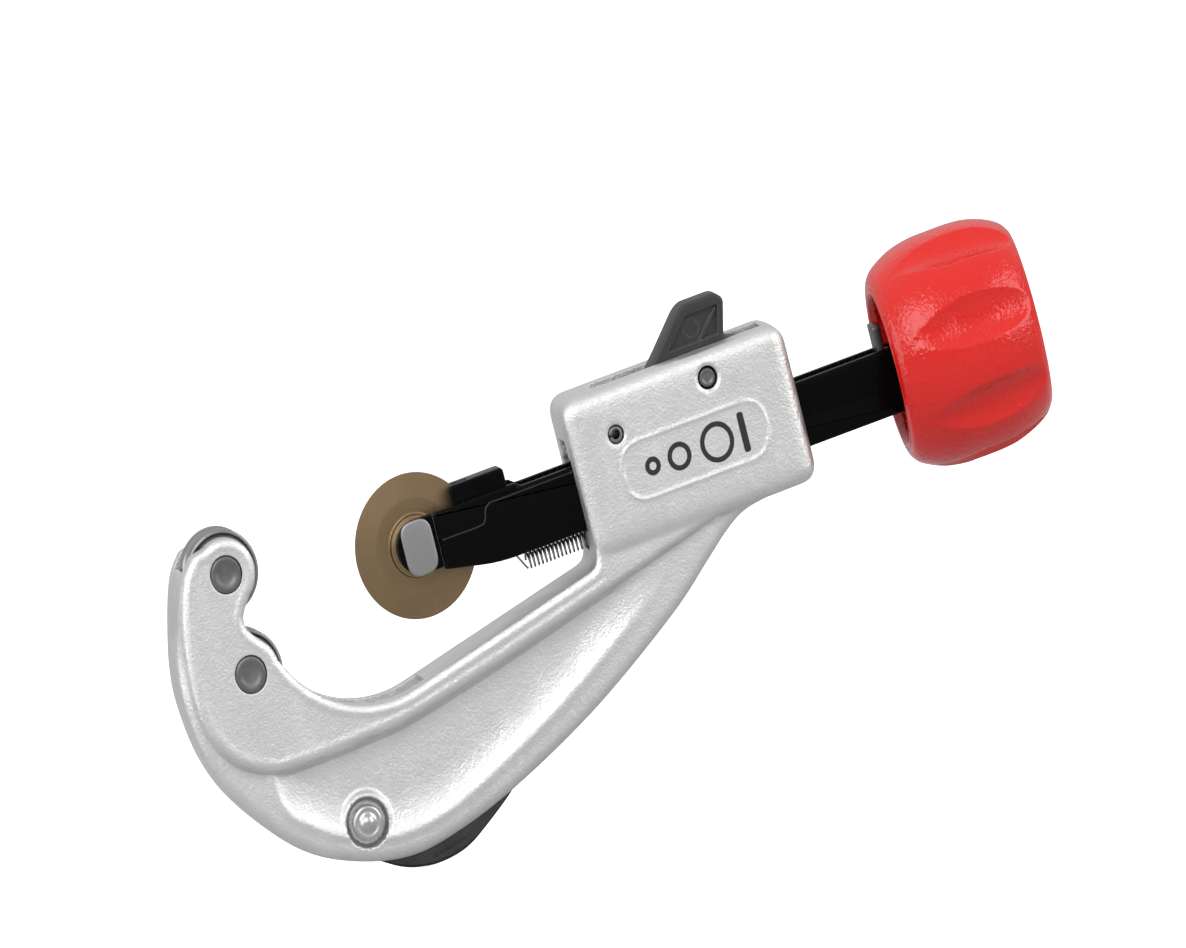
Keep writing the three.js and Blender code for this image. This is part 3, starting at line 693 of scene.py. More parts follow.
# The lighter edge colour on the black steel is a painted highlight along the channel's bends and the pressed line,
# with some edge wear.
BLACKED = Finish(
    "black_steel", "black_steel", (0.002, 0.002, 0.002), 0.0, 0.18, 0.035, coat=0.05, coat_roughness=0.05,
    grain=0.012, fine_scale=2500.0, broad_scale=300.0, rough_swing=0.05, wear_and_highlight_colour=(0.22, 0.22, 0.22),
    wear_and_highlight=0.9, wear_and_highlight_radius=0.3, marks=0.12, marks_scale=180.0,
)
BRONZED = Finish(
    "bronzed_steel", "bronzed_steel", (0.27, 0.188, 0.105), 1.0, 0.4, patch=0.6, patch_scale=75.0,
    patch_colour=(0.19, 0.14, 0.085), rough_swing=0.06, ring_height=0.012, ring_spacing=0.5,
    grain=0.004, marks=0.1,
)
BRIGHT = Finish(
    "bright_steel", "bright_steel", (0.55, 0.55, 0.545), 1.0, 0.28, grain=0.01, patch=0.4,
    patch_colour=(0.4, 0.4, 0.41), wear_and_highlight_colour=(0.8, 0.8, 0.8), wear_and_highlight=0.4, marks=0.15,
)
PLATE = Finish(
    "plate_steel", "bright_steel", (0.1, 0.1, 0.1), 1.0, 0.35, grain=0.01, wear_and_highlight_colour=(0.7, 0.7, 0.7), wear_and_highlight=0.9,
)
SATIN = Finish(
    "satin_steel", "bright_steel", (0.33, 0.33, 0.335), 1.0, 0.42, grain=0.02, fine_scale=4000.0, patch=0.4,
    patch_colour=(0.3, 0.3, 0.31), wear_and_highlight_colour=(0.7, 0.7, 0.7), wear_and_highlight=0.5, wear_and_highlight_radius=0.3, marks=0.2,
)
DARK = Finish(
    "dark_steel", "dark_steel", (0.13, 0.13, 0.13), 0.9, 0.38, grain=0.02, patch=0.6,
    patch_colour=(0.07, 0.07, 0.072), rough_swing=0.08, wear_and_highlight_colour=(0.4, 0.4, 0.4), wear_and_highlight=0.4, marks=0.2,
)
# The lighter edge colour on the lever is a painted highlight on its bevels and panel edges, with some edge wear.
LEVER = Finish(
    "cast_dark", "cast_dark", (0.045, 0.045, 0.047), 0.6, 0.45, grain=0.04, fine_scale=3500.0, patch=0.3,
    patch_colour=(0.035, 0.035, 0.037), wear_and_highlight_colour=(0.14, 0.14, 0.14), wear_and_highlight=0.8, wear_and_highlight_radius=0.4, marks=0.15,
)
SPRING = Finish(
    "spring_steel", "spring_steel", (0.24, 0.24, 0.24), 1.0, 0.3, grain=0.004, patch=0.3, patch_colour=(0.3, 0.3, 0.3),
)
ENAMEL = Finish(
    "red_enamel", "red_enamel", (0.6, 0.01, 0.007), 0.0, 0.07, 0.5, grain=0.22, fine_scale=1400.0,
    broad_scale=700.0, broad_share=0.5, patch=0.3, patch_scale=40.0,
    patch_colour=(0.68, 0.02, 0.013), rough_swing=0.04,
)
ROLLER = Finish(
    "roller_steel", "bright_steel", (0.33, 0.33, 0.33), 1.0, 0.3, patch=0.5, patch_colour=(0.2, 0.2, 0.2),
    grain=0.006, wear_and_highlight_colour=(0.75, 0.75, 0.75), wear_and_highlight=0.6, marks=0.2,
)
PIN_END = Finish(
    "pin_steel", "dark_steel", (0.2, 0.2, 0.2), 0.95, 0.42, grain=0.03, fine_scale=2500.0,
    broad_scale=500.0, patch=0.7, patch_scale=300.0, patch_colour=(0.12, 0.12, 0.12),
    wear_and_highlight_colour=(0.35, 0.35, 0.35), wear_and_highlight=0.35, marks=0.25,
)
BLADE = Finish(
    "blade_steel", "dark_steel", (0.1, 0.1, 0.1), 0.9, 0.35, grain=0.015, patch=0.5, patch_scale=150.0,
    patch_colour=(0.05, 0.05, 0.05), wear_and_highlight_colour=(0.4, 0.4, 0.4), wear_and_highlight=0.5, marks=0.2,
)
PRINT = Finish("black_print", "black_steel", (0.012, 0.012, 0.012), 0.0, 0.5, grain=0.004)


@dataclass
class Piece:
    """One finished piece: its mesh object, the finish it wears and where it goes."""

    made: bpy.types.Object
    finish: Finish
    body: str | None
    nodes: tuple[str, ...] = ()
    angle: float = 35.0

    def dress(self) -> bpy.types.Object:
        """Shades it, gives it its finish, hides the CAD parts it replaces and ties it to its body.

        Returns:
            The mesh object.
        """
        smoothed(self.made, self.angle)
        self.made.data.materials.clear()
        self.made.data.materials.append(self.finish.material())
        if self.nodes:
            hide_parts(*self.nodes)
        if self.body:
            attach(self.made, self.body)
        LOG.info("%s: %d faces, %s", self.made.name, len(self.made.data.polygons), self.finish.name)
        return self.made


# ---------------------------------------------------------------- places that several pieces share
ROLLER_X = -42.0
ROLLER_LEVELS = {"upper": 8.3, "lower": -10.4}
REAMER_PIVOT = (-25.2, -43.5)
LATCH_PIN = (67.6, 11.25)
STOP_PIN = (45.7, 7.4)


# ---------------------------------------------------------------- casting
@dataclass
class Casting:
    """The cast frame: housing, spine and jaw, drawn as a relief on both sides of the middle plane."""

    housing: tuple[float, float, float, float] = (35.5, 85.7, -13.35, 16.15)
    housing_half: float = 12.0
    housing_round: float = 2.7
    housing_corner: float = 4.0
    cheek_half: float = 11.0
    cheek_round: float = 1.3
    spine_half: float = 8.5
    spine_round: float = 2.5
    pocket_depth: float = 1.4
    pocket_run: float = 7.5
    throat: tuple[float, float] = (-13.4, 0.5)
    throat_radius: float = 24.2
    roller_x: float = ROLLER_X
    roller_z: tuple[float, float] = tuple(ROLLER_LEVELS.values())
    tip_radius: float = 6.6
    pivot: tuple[float, float] = REAMER_PIVOT
    boss_half: float = 8.4
    boss_radius: float = 5.5
    recess_radius: float = 4.7
    recess_depth: float = 1.6
    latch_pin: tuple[float, float] = LATCH_PIN
    stop_pin: tuple[float, float] = STOP_PIN
    oval: tuple[float, float, float, float] = (61.3, -0.35, 32.5, 10.7)
    oval_rise: float = 0.2
    draft: float = 0.2
    fine_step: float = 0.55
    coarse_step: float = 1.0
    rim_insets: tuple[float, ...] = (0.1, 0.28, 0.55, 0.9, 1.35, 1.9, 2.6)
    lines: dict[str, Array] = field(default_factory=dict, init=False)
    back: Array = field(default_factory=lambda: np.array([
        [-48.5, 13.3], [-51.7, 9.6], [-54.6, 2.2], [-56.6, -5.5], [-57.0, -13.0], [-55.2, -23.5],
        [-50.4, -33.0], [-40.5, -43.9], [-30.5, -49.4], [-18.0, -52.3], [-5.7, -50.9], [9.7, -46.4],
        [29.1, -38.4], [49.0, -27.6], [59.0, -20.6], [64.2, -16.9], [69.0, -14.4], [74.0, -13.45],
    ]))
    cheek_back: Array = field(default_factory=lambda: np.array([
        [-47.6, 13.9], [-50.6, 10.6], [-52.7, 5.5], [-54.2, -1.0], [-54.9, -7.5], [-54.9, -13.5],
        [-53.6, -19.0], [-50.5, -23.9], [-46.5, -27.0], [-40.6, -29.1], [-30.6, -29.4], [-20.7, -29.1],
        [-10.8, -28.4], [9.0, -24.8], [28.9, -20.5], [48.7, -16.2], [64.0, -12.6], [72.0, -9.0],
    ]))
    pocket_line: Array = field(default_factory=lambda: np.array([
        [-41.8, -27.0], [-41.8, -32.7], [-40.6, -36.2], [-38.1, -38.7], [-30.7, -43.5], [-20.7, -46.7],
        [-10.8, -46.4], [-0.9, -43.8], [19.0, -35.8], [38.8, -25.8], [48.0, -20.0], [52.0, -15.0],
    ]))

    def inner_edge(self) -> Array:
        """Returns the inner edge, from the housing's foot round the throat and both lobes to the tip."""
        upper, lower = self.roller_z
        foot = softened(np.array([[35.5, -9.0], [35.5, -14.08], [20.0, -17.29]]), 3.0, 6, closed=False)[1:-1]
        round_throat = arc(self.throat, self.throat_radius, -78.3, -154.0, 40)
        lobe = arc((self.roller_x, lower), self.tip_radius, 4.0, 48.0, 10)
        waist = through(np.array([lobe[-1], [-39.7, -3.2], [-40.55, -1.05], [-39.7, 1.1],
                                  [-37.6, 3.4]]), 5)[1:-1]
        tip = arc((self.roller_x, upper), self.tip_radius, -48.0, 119.0, 36)
        return np.concatenate([foot, round_throat, lobe, waist, tip])

    def outline(self) -> Array:
        """Returns the whole silhouette, counterclockwise."""
        x0, x1, z0, z1 = self.housing
        box = rectangle(x0, x1, z0, z1, self.housing_corner, 8)
        n = len(box) // 4
        corners = np.concatenate([box[n : 2 * n], box[2 * n : 3 * n], box[3 * n :]])
        return evenly(np.concatenate([self.inner_edge(), through(self.back, 8), corners]), self.fine_step)

    def cheek(self) -> Array:
        """Returns the outline of the raised cheek, which runs on under the housing."""
        rear = np.array([[72.0, 0.0], [37.5, 0.0], [36.2, -9.0]])
        return evenly(np.concatenate([self.inner_edge(), through(self.cheek_back, 8), rear]), self.fine_step)

    def pocket(self) -> Array:
        """Returns the outline of the pocket below the cheek; its upper side lies under the cheek."""
        top = self.cheek_back[9:16][::-1] + np.array([0.0, 2.6])
        return evenly(np.concatenate([through(self.pocket_line, 8), top]), self.fine_step)

    def stadium(self) -> Array:
        """Returns the oval's outline on the housing's side."""
        x, z, wide, high = self.oval
        return evenly(rectangle(x - wide / 2, x + wide / 2, z - high / 2, z + high / 2, 0.49 * high, 12), 0.6)

    def box_line(self) -> Array:
        """Returns the housing's rounded rectangle."""
        return evenly(rectangle(*self.housing, self.housing_corner, 8), self.fine_step)

    @staticmethod
    def depth(points: Array, line: Array) -> Array:
        """Measures how far points lie inside a closed line.

        Args:
            points: (n, 2) points.
            line: (m, 2) closed line.

        Returns:
            (n,) distances to the nearest stretch of the line, negative outside it. A point is inside if a
            ray from it crosses the line an odd number of times.
        """
        a, b = line, np.roll(line, -1, 0)
        along = b - a
        out = np.empty(len(points))
        for start in range(0, len(points), 4000):
            p = points[start : start + 4000, None]
            t = ((p - a) * along).sum(-1) / np.maximum((along * along).sum(-1), 1e-12)
            near = a + np.clip(t, 0, 1)[..., None] * along - p
            far = np.sqrt((near * near).sum(-1).min(1))
            astride = (a[:, 1] > p[..., 1]) != (b[:, 1] > p[..., 1])
            rise = np.where(np.abs(along[:, 1]) < 1e-12, 1e-12, along[:, 1])
            cross = a[:, 0] + (p[..., 1] - a[:, 1]) / rise * along[:, 0]
            inside = (astride & (p[..., 0] < cross)).sum(1) % 2 == 1
            out[start : start + 4000] = np.where(inside, far, -far)
        return out

    @staticmethod
    def shoulder(depth: Array, level: float, radius: float, slope: float) -> Array:
        """Gives a plateau's height: level inside, a quarter round over the radius at its edge, and a
        straight fall of the given slope outside."""
        u = np.clip(depth / radius, 0, 1)
        return level - radius + radius * np.sqrt(1 - (1 - u) ** 2) + np.minimum(depth, 0) * slope

    @staticmethod
    def soft_max(a: Array, b: Array, blend: float) -> Array:
        """Takes the greater of two heights, with a fillet about as wide as blend where they cross."""
        h = np.clip(0.5 + 0.5 * (a - b) / blend, 0, 1)
        return b * (1 - h) + a * h + blend * h * (1 - h)

    def height(self, p: Array) -> Array:
        """Works out the relief.

        Formula: spine plateau less the pocket's fall, which is steep at the bead and levels out over the
        pocket's run; then the cheek, the housing and the reamer's boss are joined on by soft maxima; then the
        ring recess, the pin holes' countersinks and the oval's low bead are taken off or added.

        Args:
            p: (n, 2) points in X and Z.

        Returns:
            (n,) distance of the side face from the middle plane.
        """
        edge, pocket_in, cheek_in, box_in, oval = (
            self.depth(p, self.lines[name]) for name in ("outline", "pocket", "cheek", "box", "oval"))
        pocket = np.clip(pocket_in / self.pocket_run, 0, 1)
        fade = np.clip((52.0 - p[:, 0]) / 26.0, 0, 1)
        fall = self.pocket_depth * (1 - (1 - pocket) ** 2.4) * self.eased_share(fade)
        bead = 0.35 * np.exp(-((pocket_in + 0.9) / 0.8) ** 2) * fade
        spine = self.shoulder(np.maximum(edge, 0), self.spine_half, self.spine_round, 0.0) - fall + bead
        cheek = self.shoulder(cheek_in, self.cheek_half, self.cheek_round, 2.4)
        rim = 0.18 * np.exp(-((cheek_in - 1.6) / 0.6) ** 2) * (p[:, 0] < 36)
        top = self.soft_max(spine, cheek + rim, 0.8)
        housing = self.shoulder(box_in, self.housing_half, self.housing_round, 1.4)
        housing = housing - 0.3 * (1 - self.eased_share(np.clip(box_in / 5.0, 0, 1)))
        top = self.soft_max(top, housing, 0.9)
        r = np.linalg.norm(p - np.array(self.pivot), axis=1)
        boss = self.shoulder(self.boss_radius - r, self.boss_half, 0.7, 1.8)
        top = self.soft_max(top, boss, 0.5)
        sunk = np.clip((self.recess_radius - r) / 0.8, 0, 1)
        top = np.where(sunk > 0, np.minimum(top, self.boss_half - self.recess_depth * sunk), top)
        for (x, z), radius, deep in ((self.latch_pin, 2.25, 0.4), (self.stop_pin, 1.8, 0.25)):
            far = np.hypot(p[:, 0] - x, p[:, 1] - z)
            top = top - deep * np.clip(1 - (far - radius) / 0.5, 0, 1)
        return top + self.oval_rise * np.exp(-(oval / 0.34) ** 2)

    @staticmethod
    def eased_share(share: Array) -> Array:
        """Returns a share from 0 to 1 with a level start and a level end."""
        return share * share * (3 - 2 * share)

    @staticmethod
    def rows(line: Array, offsets: tuple[float, ...] | list[float]) -> Array:
        """Returns copies of a closed line, one moved inwards by each offset."""
        return np.concatenate([inset(line, offset) for offset in offsets])

    def build(self) -> bpy.types.Object:
        """Builds the casting.

        The side face is the relief over a triangulated net: rows of points beside every line of the relief
        and a coarser grid between. The far side mirrors it, and five rows join the two rims, the middle one
        standing out a little as the mould's parting line.

        Returns:
            The mesh object.
        """
        outline = self.outline()
        self.lines = {"outline": outline, "pocket": self.pocket(), "cheek": self.cheek(),
                      "box": self.box_line(), "oval": self.stadium()}
        rim = inset(outline, self.draft)
        edge = self.rows(rim, self.rim_insets)
        features = [
            self.rows(self.lines["cheek"], [-1.9, -1.2, -0.6, -0.15, 0.15, 0.45, 0.85, 1.3, 1.9, 2.5, 3.2]),
            self.rows(self.lines["box"], [-1.6, -0.9, -0.3, 0.15, 0.5, 0.9, 1.4, 2.0, 2.8, 3.8, 4.8]),
            self.rows(self.lines["pocket"], [-1.9, -1.2, -0.7, -0.3, 0.0, 0.35, 0.8, 1.4, 2.1, 3.0]),
            self.rows(self.lines["oval"], [-0.9, -0.55, -0.28, 0.0, 0.28, 0.55, 0.9]),
        ]
        for centre, radii in (
            (self.pivot, [2.6, 3.3, 3.6, 3.9, 4.2, 4.45, 4.7, 4.95, 5.2, 5.5, 5.8, 6.1, 6.5, 7.0]),
            (self.latch_pin, [1.6, 2.05, 2.25, 2.5, 2.75, 3.2]),
            (self.stop_pin, [1.2, 1.7, 1.85, 2.1, 2.35, 2.8]),
        ):
            features += [arc(centre, r, 0, 360, max(16, int(r * 14)))[:-1] for r in radii]
        x0, z0 = outline.min(0)
        x1, z1 = outline.max(0)
        s = self.coarse_step
        gx, gz = np.meshgrid(np.arange(x0, x1, s), np.arange(z0, z1, s * 0.87))
        gx[1::2] += s / 2
        grid = np.stack([gx.ravel(), gz.ravel()], -1)

        near = np.concatenate([edge, *features])
        keep_edge = np.repeat(self.rim_insets, len(rim))
        inner = self.depth(near, rim)
        limit = np.concatenate([0.9 * keep_edge, np.full(len(near) - len(edge), 0.3)])
        near = near[inner > limit]
        cell = np.round(near / 0.3).astype(int)
        near = near[np.sort(np.unique(cell, axis=0, return_index=True)[1])]
        taken = np.unique(np.round(near / (0.85 * s)).astype(int), axis=0)
        cells = np.round(grid / (0.85 * s)).astype(int)
        free = ~(cells[:, None] == taken[None]).all(-1).any(1)
        grid = grid[free & (self.depth(grid, rim) > 0.7)]
        net = np.concatenate([rim, near, grid])

        count = len(rim)
        loop = [(i, (i + 1) % count) for i in range(count)]
        spots, _, triangles, origin, _, _ = delaunay_2d_cdt([Vector(p) for p in net], loop, [], 1, 1e-5)
        flat = np.array([tuple(p) for p in spots])
        lookup = {first: new for new, olds in enumerate(origin) for first in olds}
        rim_at = np.array([lookup[i] for i in range(count)])
        high = self.height(flat)
        front = laid(Axis.ACROSS, -high, *flat.T)
        back = front * np.array([1, -1, 1])
        n = len(flat)
        faces = [list(f) for f in triangles] + [[n + i for i in f][::-1] for f in triangles]
        wall_high = high[rim_at]
        rows = []
        for share, inwards in ((-0.55, 0.07), (-0.045, 0.02), (0.0, 0.0), (0.045, 0.02), (0.55, 0.07)):
            spot = inset(outline, inwards)
            rows.append(laid(Axis.ACROSS, share * wall_high, *spot.T))
        rings = [rim_at, *(2 * n + k * count + np.arange(count) for k in range(len(rows))), rim_at + n]
        for a, b in zip(rings[:-1], rings[1:]):
            faces += np.stack([a, b, np.roll(b, -1), np.roll(a, -1)], -1).tolist()
        made = mesh_of("casting", Surface(np.concatenate([front, back, *rows]), faces))
        combine(made, self.cuts())
        return made

    def cuts(self) -> list[Surface]:
        """Returns what is cut out: the slide's way, the latch's slot, the rollers' slot, the reamer's slot
        and the pins' holes."""
        x, z = self.pivot
        upper, lower = self.roller_z
        wide, gap, blade = 13.0, 6.15, 2.2
        throat = np.concatenate([arc(self.throat, 28.7, -72.0, -170.0, 40), arc(self.throat, 20.0, -170.0, -72.0, 20)])
        edge = np.array([[x - 13.5, z - 12], [x + 36, z - 12], [x + 36, z + 0.5], [x + 1, z + 7.0],
                         [x - 4, z + 6.0], [x - 13.5, z + 1]])
        between = rectangle(self.roller_x - 4, self.roller_x + 13, lower, upper)
        return [
            block((33.5, 87.7), (-6.3, 6.3), (-8.1, 5.27)),
            block((33.5, 49.7), (-4.3, 4.3), (0.0, 8.7)),
            block((44.0, 73.0), (-4.7, 4.7), (0.0, 18.2)),
            block((67.6, 82.0), (-4.7, 4.7), (8.47, 18.2)),
            slab(rectangle(33.5, 81.0, -11.8, -7.8), -2.1, 2.1, 0.8),
            rod(Axis.ACROSS, self.latch_pin, 2.15, -wide, wide),
            rod(Axis.ACROSS, self.stop_pin, 1.78, -wide, wide, 32),
            *(rod(Axis.ACROSS, (self.roller_x, level), 9.0, -gap, gap, 64) for level in self.roller_z),
            *(rod(Axis.ACROSS, (self.roller_x, level), 3.52, -wide, wide, 48) for level in self.roller_z),
            slab(between, -gap, gap, 0.0),
            slab(throat[::-1], -gap, gap, 0.0),
            slab(edge, -blade, blade, 0.0),
            rod(Axis.ACROSS, self.pivot, 7.0, -blade, blade, 48),
            rod(Axis.ACROSS, self.pivot, 2.0, -wide, wide, 32),
        ]

    def marking(self) -> bpy.types.Object:
        """Builds the plain printed mark in the oval: three rings, for small to large tube, and a bar."""
        x, z = self.oval[:2]
        ends = (-self.housing_half - 0.05, -self.housing_half + 0.1)
        rings = [
            ring(Axis.ACROSS, (x + shift, z), (radius - 0.95, radius), ends, sides=64)
            for shift, radius in ((-9.6, 1.7), (-3.6, 2.6), (4.9, 3.7))
        ]
        bar = slab(rectangle(x + 10.2, x + 11.6, z - 3.7, z + 3.7, 0.6, 4), *ends, 0.0)
        return mesh_of("size_mark", bar.joined(*rings))

    def pieces(self) -> list[Piece]:
        """Builds everything that is part of the casting."""
        return [
            Piece(self.build(), CAST, "frame", ("frame",), 32.0),
            Piece(self.marking(), PRINT, "frame"),
        ]


@dataclass
class Jaw:
    """The two rollers and their pins."""

    x: float = ROLLER_X
    radius: float = 7.8
    width: float = 11.5
    pin_radius: float = 3.5
    cheek_half: float = 10.9

    def roller(self, name: str, z: float) -> bpy.types.Object:
        """Builds a roller: a waisted barrel whose profile is softened at every corner."""
        h, r, bore = self.width / 2, self.radius, self.pin_radius + 0.1
        loop = np.array([
            [-h, bore], [-h, 5.6], [-h + 0.35, 6.0], [-h + 0.35, 6.9], [-h, 7.2], [-h, r - 0.1], [-h + 0.7, r],
            [-1.7, r], [-0.8, r - 1], [0.8, r - 1], [1.7, r], [h - 0.7, r], [h, r - 0.1], [h, 7.2],
            [h - 0.35, 6.9], [h - 0.35, 6.0], [h, 5.6], [h, bore],
        ])
        return mesh_of(f"{name}_tread", turned(softened(loop, 0.25, 3), Axis.ACROSS, (self.x, z), 72, closed=True))

    def pin(self, name: str, z: float) -> bpy.types.Object:
        """Builds a roller pin with slightly dished, softly chamfered ends."""
        h, r = self.cheek_half - 0.05, self.pin_radius
        side = np.array([[-h + 0.45, 0], [-h + 0.3, 1.6], [-h, 2.5], [-h + 0.05, 3.1], [-h + 0.4, r]])
        half = softened(np.concatenate([side, [[0.0, r]]]), 0.3, 3, closed=False)
        return mesh_of(f"{name}_axle", turned(mirrored(half), Axis.ACROSS, (self.x, z), 48))

    def pieces(self) -> list[Piece]:
        """Builds both rollers and both pins."""
        made = []
        for name, z in ROLLER_LEVELS.items():
            made.append(Piece(self.roller(name, z), ROLLER, f"roller_{name}", (f"roller_{name}",)))
            made.append(Piece(self.pin(name, z), PIN_END, "frame", (f"roller_pin_{name}",)))
        return made


@dataclass
class Reamer:
    """The folding blade under the spine and its rivet."""

    pivot: tuple[float, float] = REAMER_PIVOT
    thickness: float = 3.6
    heel: float = 6.2
    seat: float = 7.3

    def blade(self) -> bpy.types.Object:
        """Builds the blade: its outline carried across, with both long edges ground to a bevel."""
        x, z = self.pivot
        belly = through(np.array([
            [x - 2.222, z - 5.788], [x + 5.2, z - 10.3], [x + 10.5, z - 11.9], [x + 15.2, z - 12.15],
            [x + 20.5, z - 11.2], [x + 25.5, z - 8.7], [x + 31, z - 5.4], [x + 33.4, z - 3.6]]), 6)
        top = softened(np.array([[x + 32.6, z - 2.4], [x + 16, z + 1.6], [x + 6, z + 4.6]]), 5.0, 6, closed=False)
        line = np.concatenate([arc(self.pivot, self.heel, 80, 249, 20)[:-1], belly, top])
        h = self.thickness / 2
        made = mesh_of("reamer_blade", slab(evenly(line, 0.8), -h, h, 0.5, steps=1))
        groove = softened(np.array([[x + 12.2, z - 11.1], [x + 20.4, z - 9.8], [x + 20.6, z - 9.3],
                                    [x + 12.4, z - 10.6]]), 0.15, 2)
        hole = rod(Axis.ACROSS, self.pivot, 1.9, -4, 4, 32)
        combine(made, [hole, slab(groove, -h - 1, -h + 0.3, 0.0), slab(groove, h - 0.3, h + 1, 0.0)])
        return made

    def rivet(self) -> bpy.types.Object:
        """Builds the rivet: a rolled ring with a low dome in it on each side."""
        s = self.seat
        side = np.array([[s, 1.8], [s, 3.25], [s + 1.5, 3.25], [s + 2.0, 2.75], [s + 1.75, 2.05], [s + 1.95, 1.65],
                         [s + 2.55, 1.0], [s + 2.75, 0.35], [s + 2.8, 0.0]])
        half = softened(side, [0.1, 0.1, 0.5, 0.45, 0.25, 0.3, 0.4, 0.3, 0.1], 4, closed=False)
        profile = np.concatenate([(half * [-1, 1])[::-1], half])
        return mesh_of("reamer_rivet", turned(profile, Axis.ACROSS, self.pivot, 64))

    def pieces(self) -> list[Piece]:
        """Builds the blade and its rivet."""
        return [
            Piece(self.blade(), BLADE, "reamer", ("reamer",), 25.0),
            Piece(self.rivet(), BRIGHT, "frame", ("reamer_pin",), 50.0),
        ]


@dataclass
class Slide:
    """The folded channel with its stepped fork, the guide block, the bearing plate and their small parts."""

    half: float = 6.0
    wall: float = 1.8
    top: float = 4.97
    bottom: float = -7.8
    rear: float = 112.0
    step_x: float = 4.4
    fork_half: float = 5.0
    bend: float = 0.75
    block: tuple[float, float, float, float] = (9.3, 21.5, -5.7, 8.3)
    plate: tuple[float, float] = (105.0, 1.7)

    def channel(self) -> bpy.types.Object:
        """Builds the channel and fork from softened side outlines, joined and hollowed."""
        low_top, floor = self.top - 0.9, self.bottom + self.wall
        side = softened(np.array([
            [self.step_x, -5.5], [16.0, self.bottom], [self.rear, self.bottom], [self.rear, low_top],
            [24.2, low_top], [23.0, self.top], [self.step_x, self.top]]), [0.4, 4.0, 0.8, 0.8, 0.4, 0.4, 0.3], 4)
        made = mesh_of("slide_channel", slab(side, -self.half, self.half, self.bend))
        inner = self.half - self.wall
        outer = self.half - 1.3
        gap = outer - self.wall
        nose = np.concatenate([arc((0.3, 0.0), self.fork_half, 90, 270, 30), [[5.4, -5.0], [5.4, 4.9]]])
        combine(made, [block((self.step_x + self.wall, self.rear + 1), (-inner, inner), (floor, 8.0))])
        combine(made, [slab(nose, -outer, outer, 0.3)], Join.ADD)
        combine(made, [
            block((-5.7, self.step_x + self.wall + 1), (-gap, gap), (-30, 30)),
            block((0.0, 14.0), (-1.55, 1.55), (-30.0, 0.0)),
            rod(Axis.ACROSS, (0.0, 0.0), 2.7, -8, 8, 40),
        ])
        eased(made, 0.12, 1, 50.0)
        return made

    def crease(self) -> bpy.types.Object:
        """Builds the pressed line along each side: wire half sunk in the wall, stepping up behind the fork."""
        line = through(np.array([[5.2, -0.15], [9.0, -0.15], [13.6, -0.15], [14.9, 0.5], [15.6, 2.4], [16.8, 3.2],
                                 [18.5, 3.2], [24.0, 3.2], [30.0, 3.2], [36.0, 3.2]]), 5)
        sides = []
        for y in (-self.half + 0.1, self.half - 0.1):
            sides.append(tube(laid(Axis.ACROSS, np.full(len(line), y), *line.T), np.array([0.0, 1.0, 0.0]), 0.2, 10))
        return mesh_of("slide_crease", sides[0].joined(sides[1]))

    def guide(self) -> bpy.types.Object:
        """Builds the guide block with the wheel's gap and the screw's seat in it."""
        x0, x1, z0, z1 = self.block
        made = mesh_of("guide", slab(rectangle(x0, x1, z0, z1, 0.9, 5), -3.9, 3.9, 0.55))
        combine(made, [block((x0 - 1, 14.0), (-1.35, 1.35), (-30, 30)), rod(Axis.ALONG, (0, 0), 2.7, 14.8, 22.5, 32)])
        return made

    def bearing(self) -> bpy.types.Object:
        """Builds the bent-up bearing plate at the channel's rear."""
        x, thick = self.plate
        made = mesh_of("bearing", slab(rectangle(-3.9, 3.9, -5.7, 8.7, 1.0, 5), x, x + thick, 0.25, Axis.ALONG))
        combine(made, [rod(Axis.ALONG, (0, 0), 2.7, x - 1, x + thick + 1, 40)])
        return made

    def washer(self) -> bpy.types.Object:
        """Builds the thrust washer."""
        return mesh_of("thrust_ring", ring(Axis.ALONG, (0, 0), (2.7, 3.9), (107.0, 107.8), 0.15))

    def pin(self) -> bpy.types.Object:
        """Builds the wheel's pin: a round shank under a head that is flat at both sides and domed a little."""
        head = rectangle(-3.4, 3.4, -5.05, 5.05, 2.9, 9)
        made = mesh_of("wheel_bolt", slab(head, -6.0, -5.0, 0.35, steps=4))
        combine(made, [rod(Axis.ACROSS, (0, 0), 2.5, -5.4, 6.1, 40)], Join.ADD)
        return made

    def clip(self) -> bpy.types.Object:
        """Builds the spring clip on the pin's far end, with a gap at one side."""
        made = mesh_of("bolt_clip", ring(Axis.ACROSS, (0, 0), (2.6, 4.1), (5.0, 5.6), 0.12))
        combine(made, [block((-1.0, 1.0), (4, 7), (-6, -1))])
        return made

    def pieces(self) -> list[Piece]:
        """Builds everything that travels with the slide."""
        return [
            Piece(self.channel(), BLACKED, "slide", ("slide",)),
            Piece(self.crease(), BLACKED, "slide", (), 60.0),
            Piece(self.guide(), BLACKED, "slide", ("guide_block",)),
            Piece(self.bearing(), PLATE, "slide", ("bearing_plate",)),
            Piece(self.washer(), BRIGHT, "slide", ("thrust_washer",)),
            Piece(self.pin(), SATIN, "slide", ("wheel_pin",)),
            Piece(self.clip(), SPRING, "slide", ("wheel_pin_clip",)),
        ]


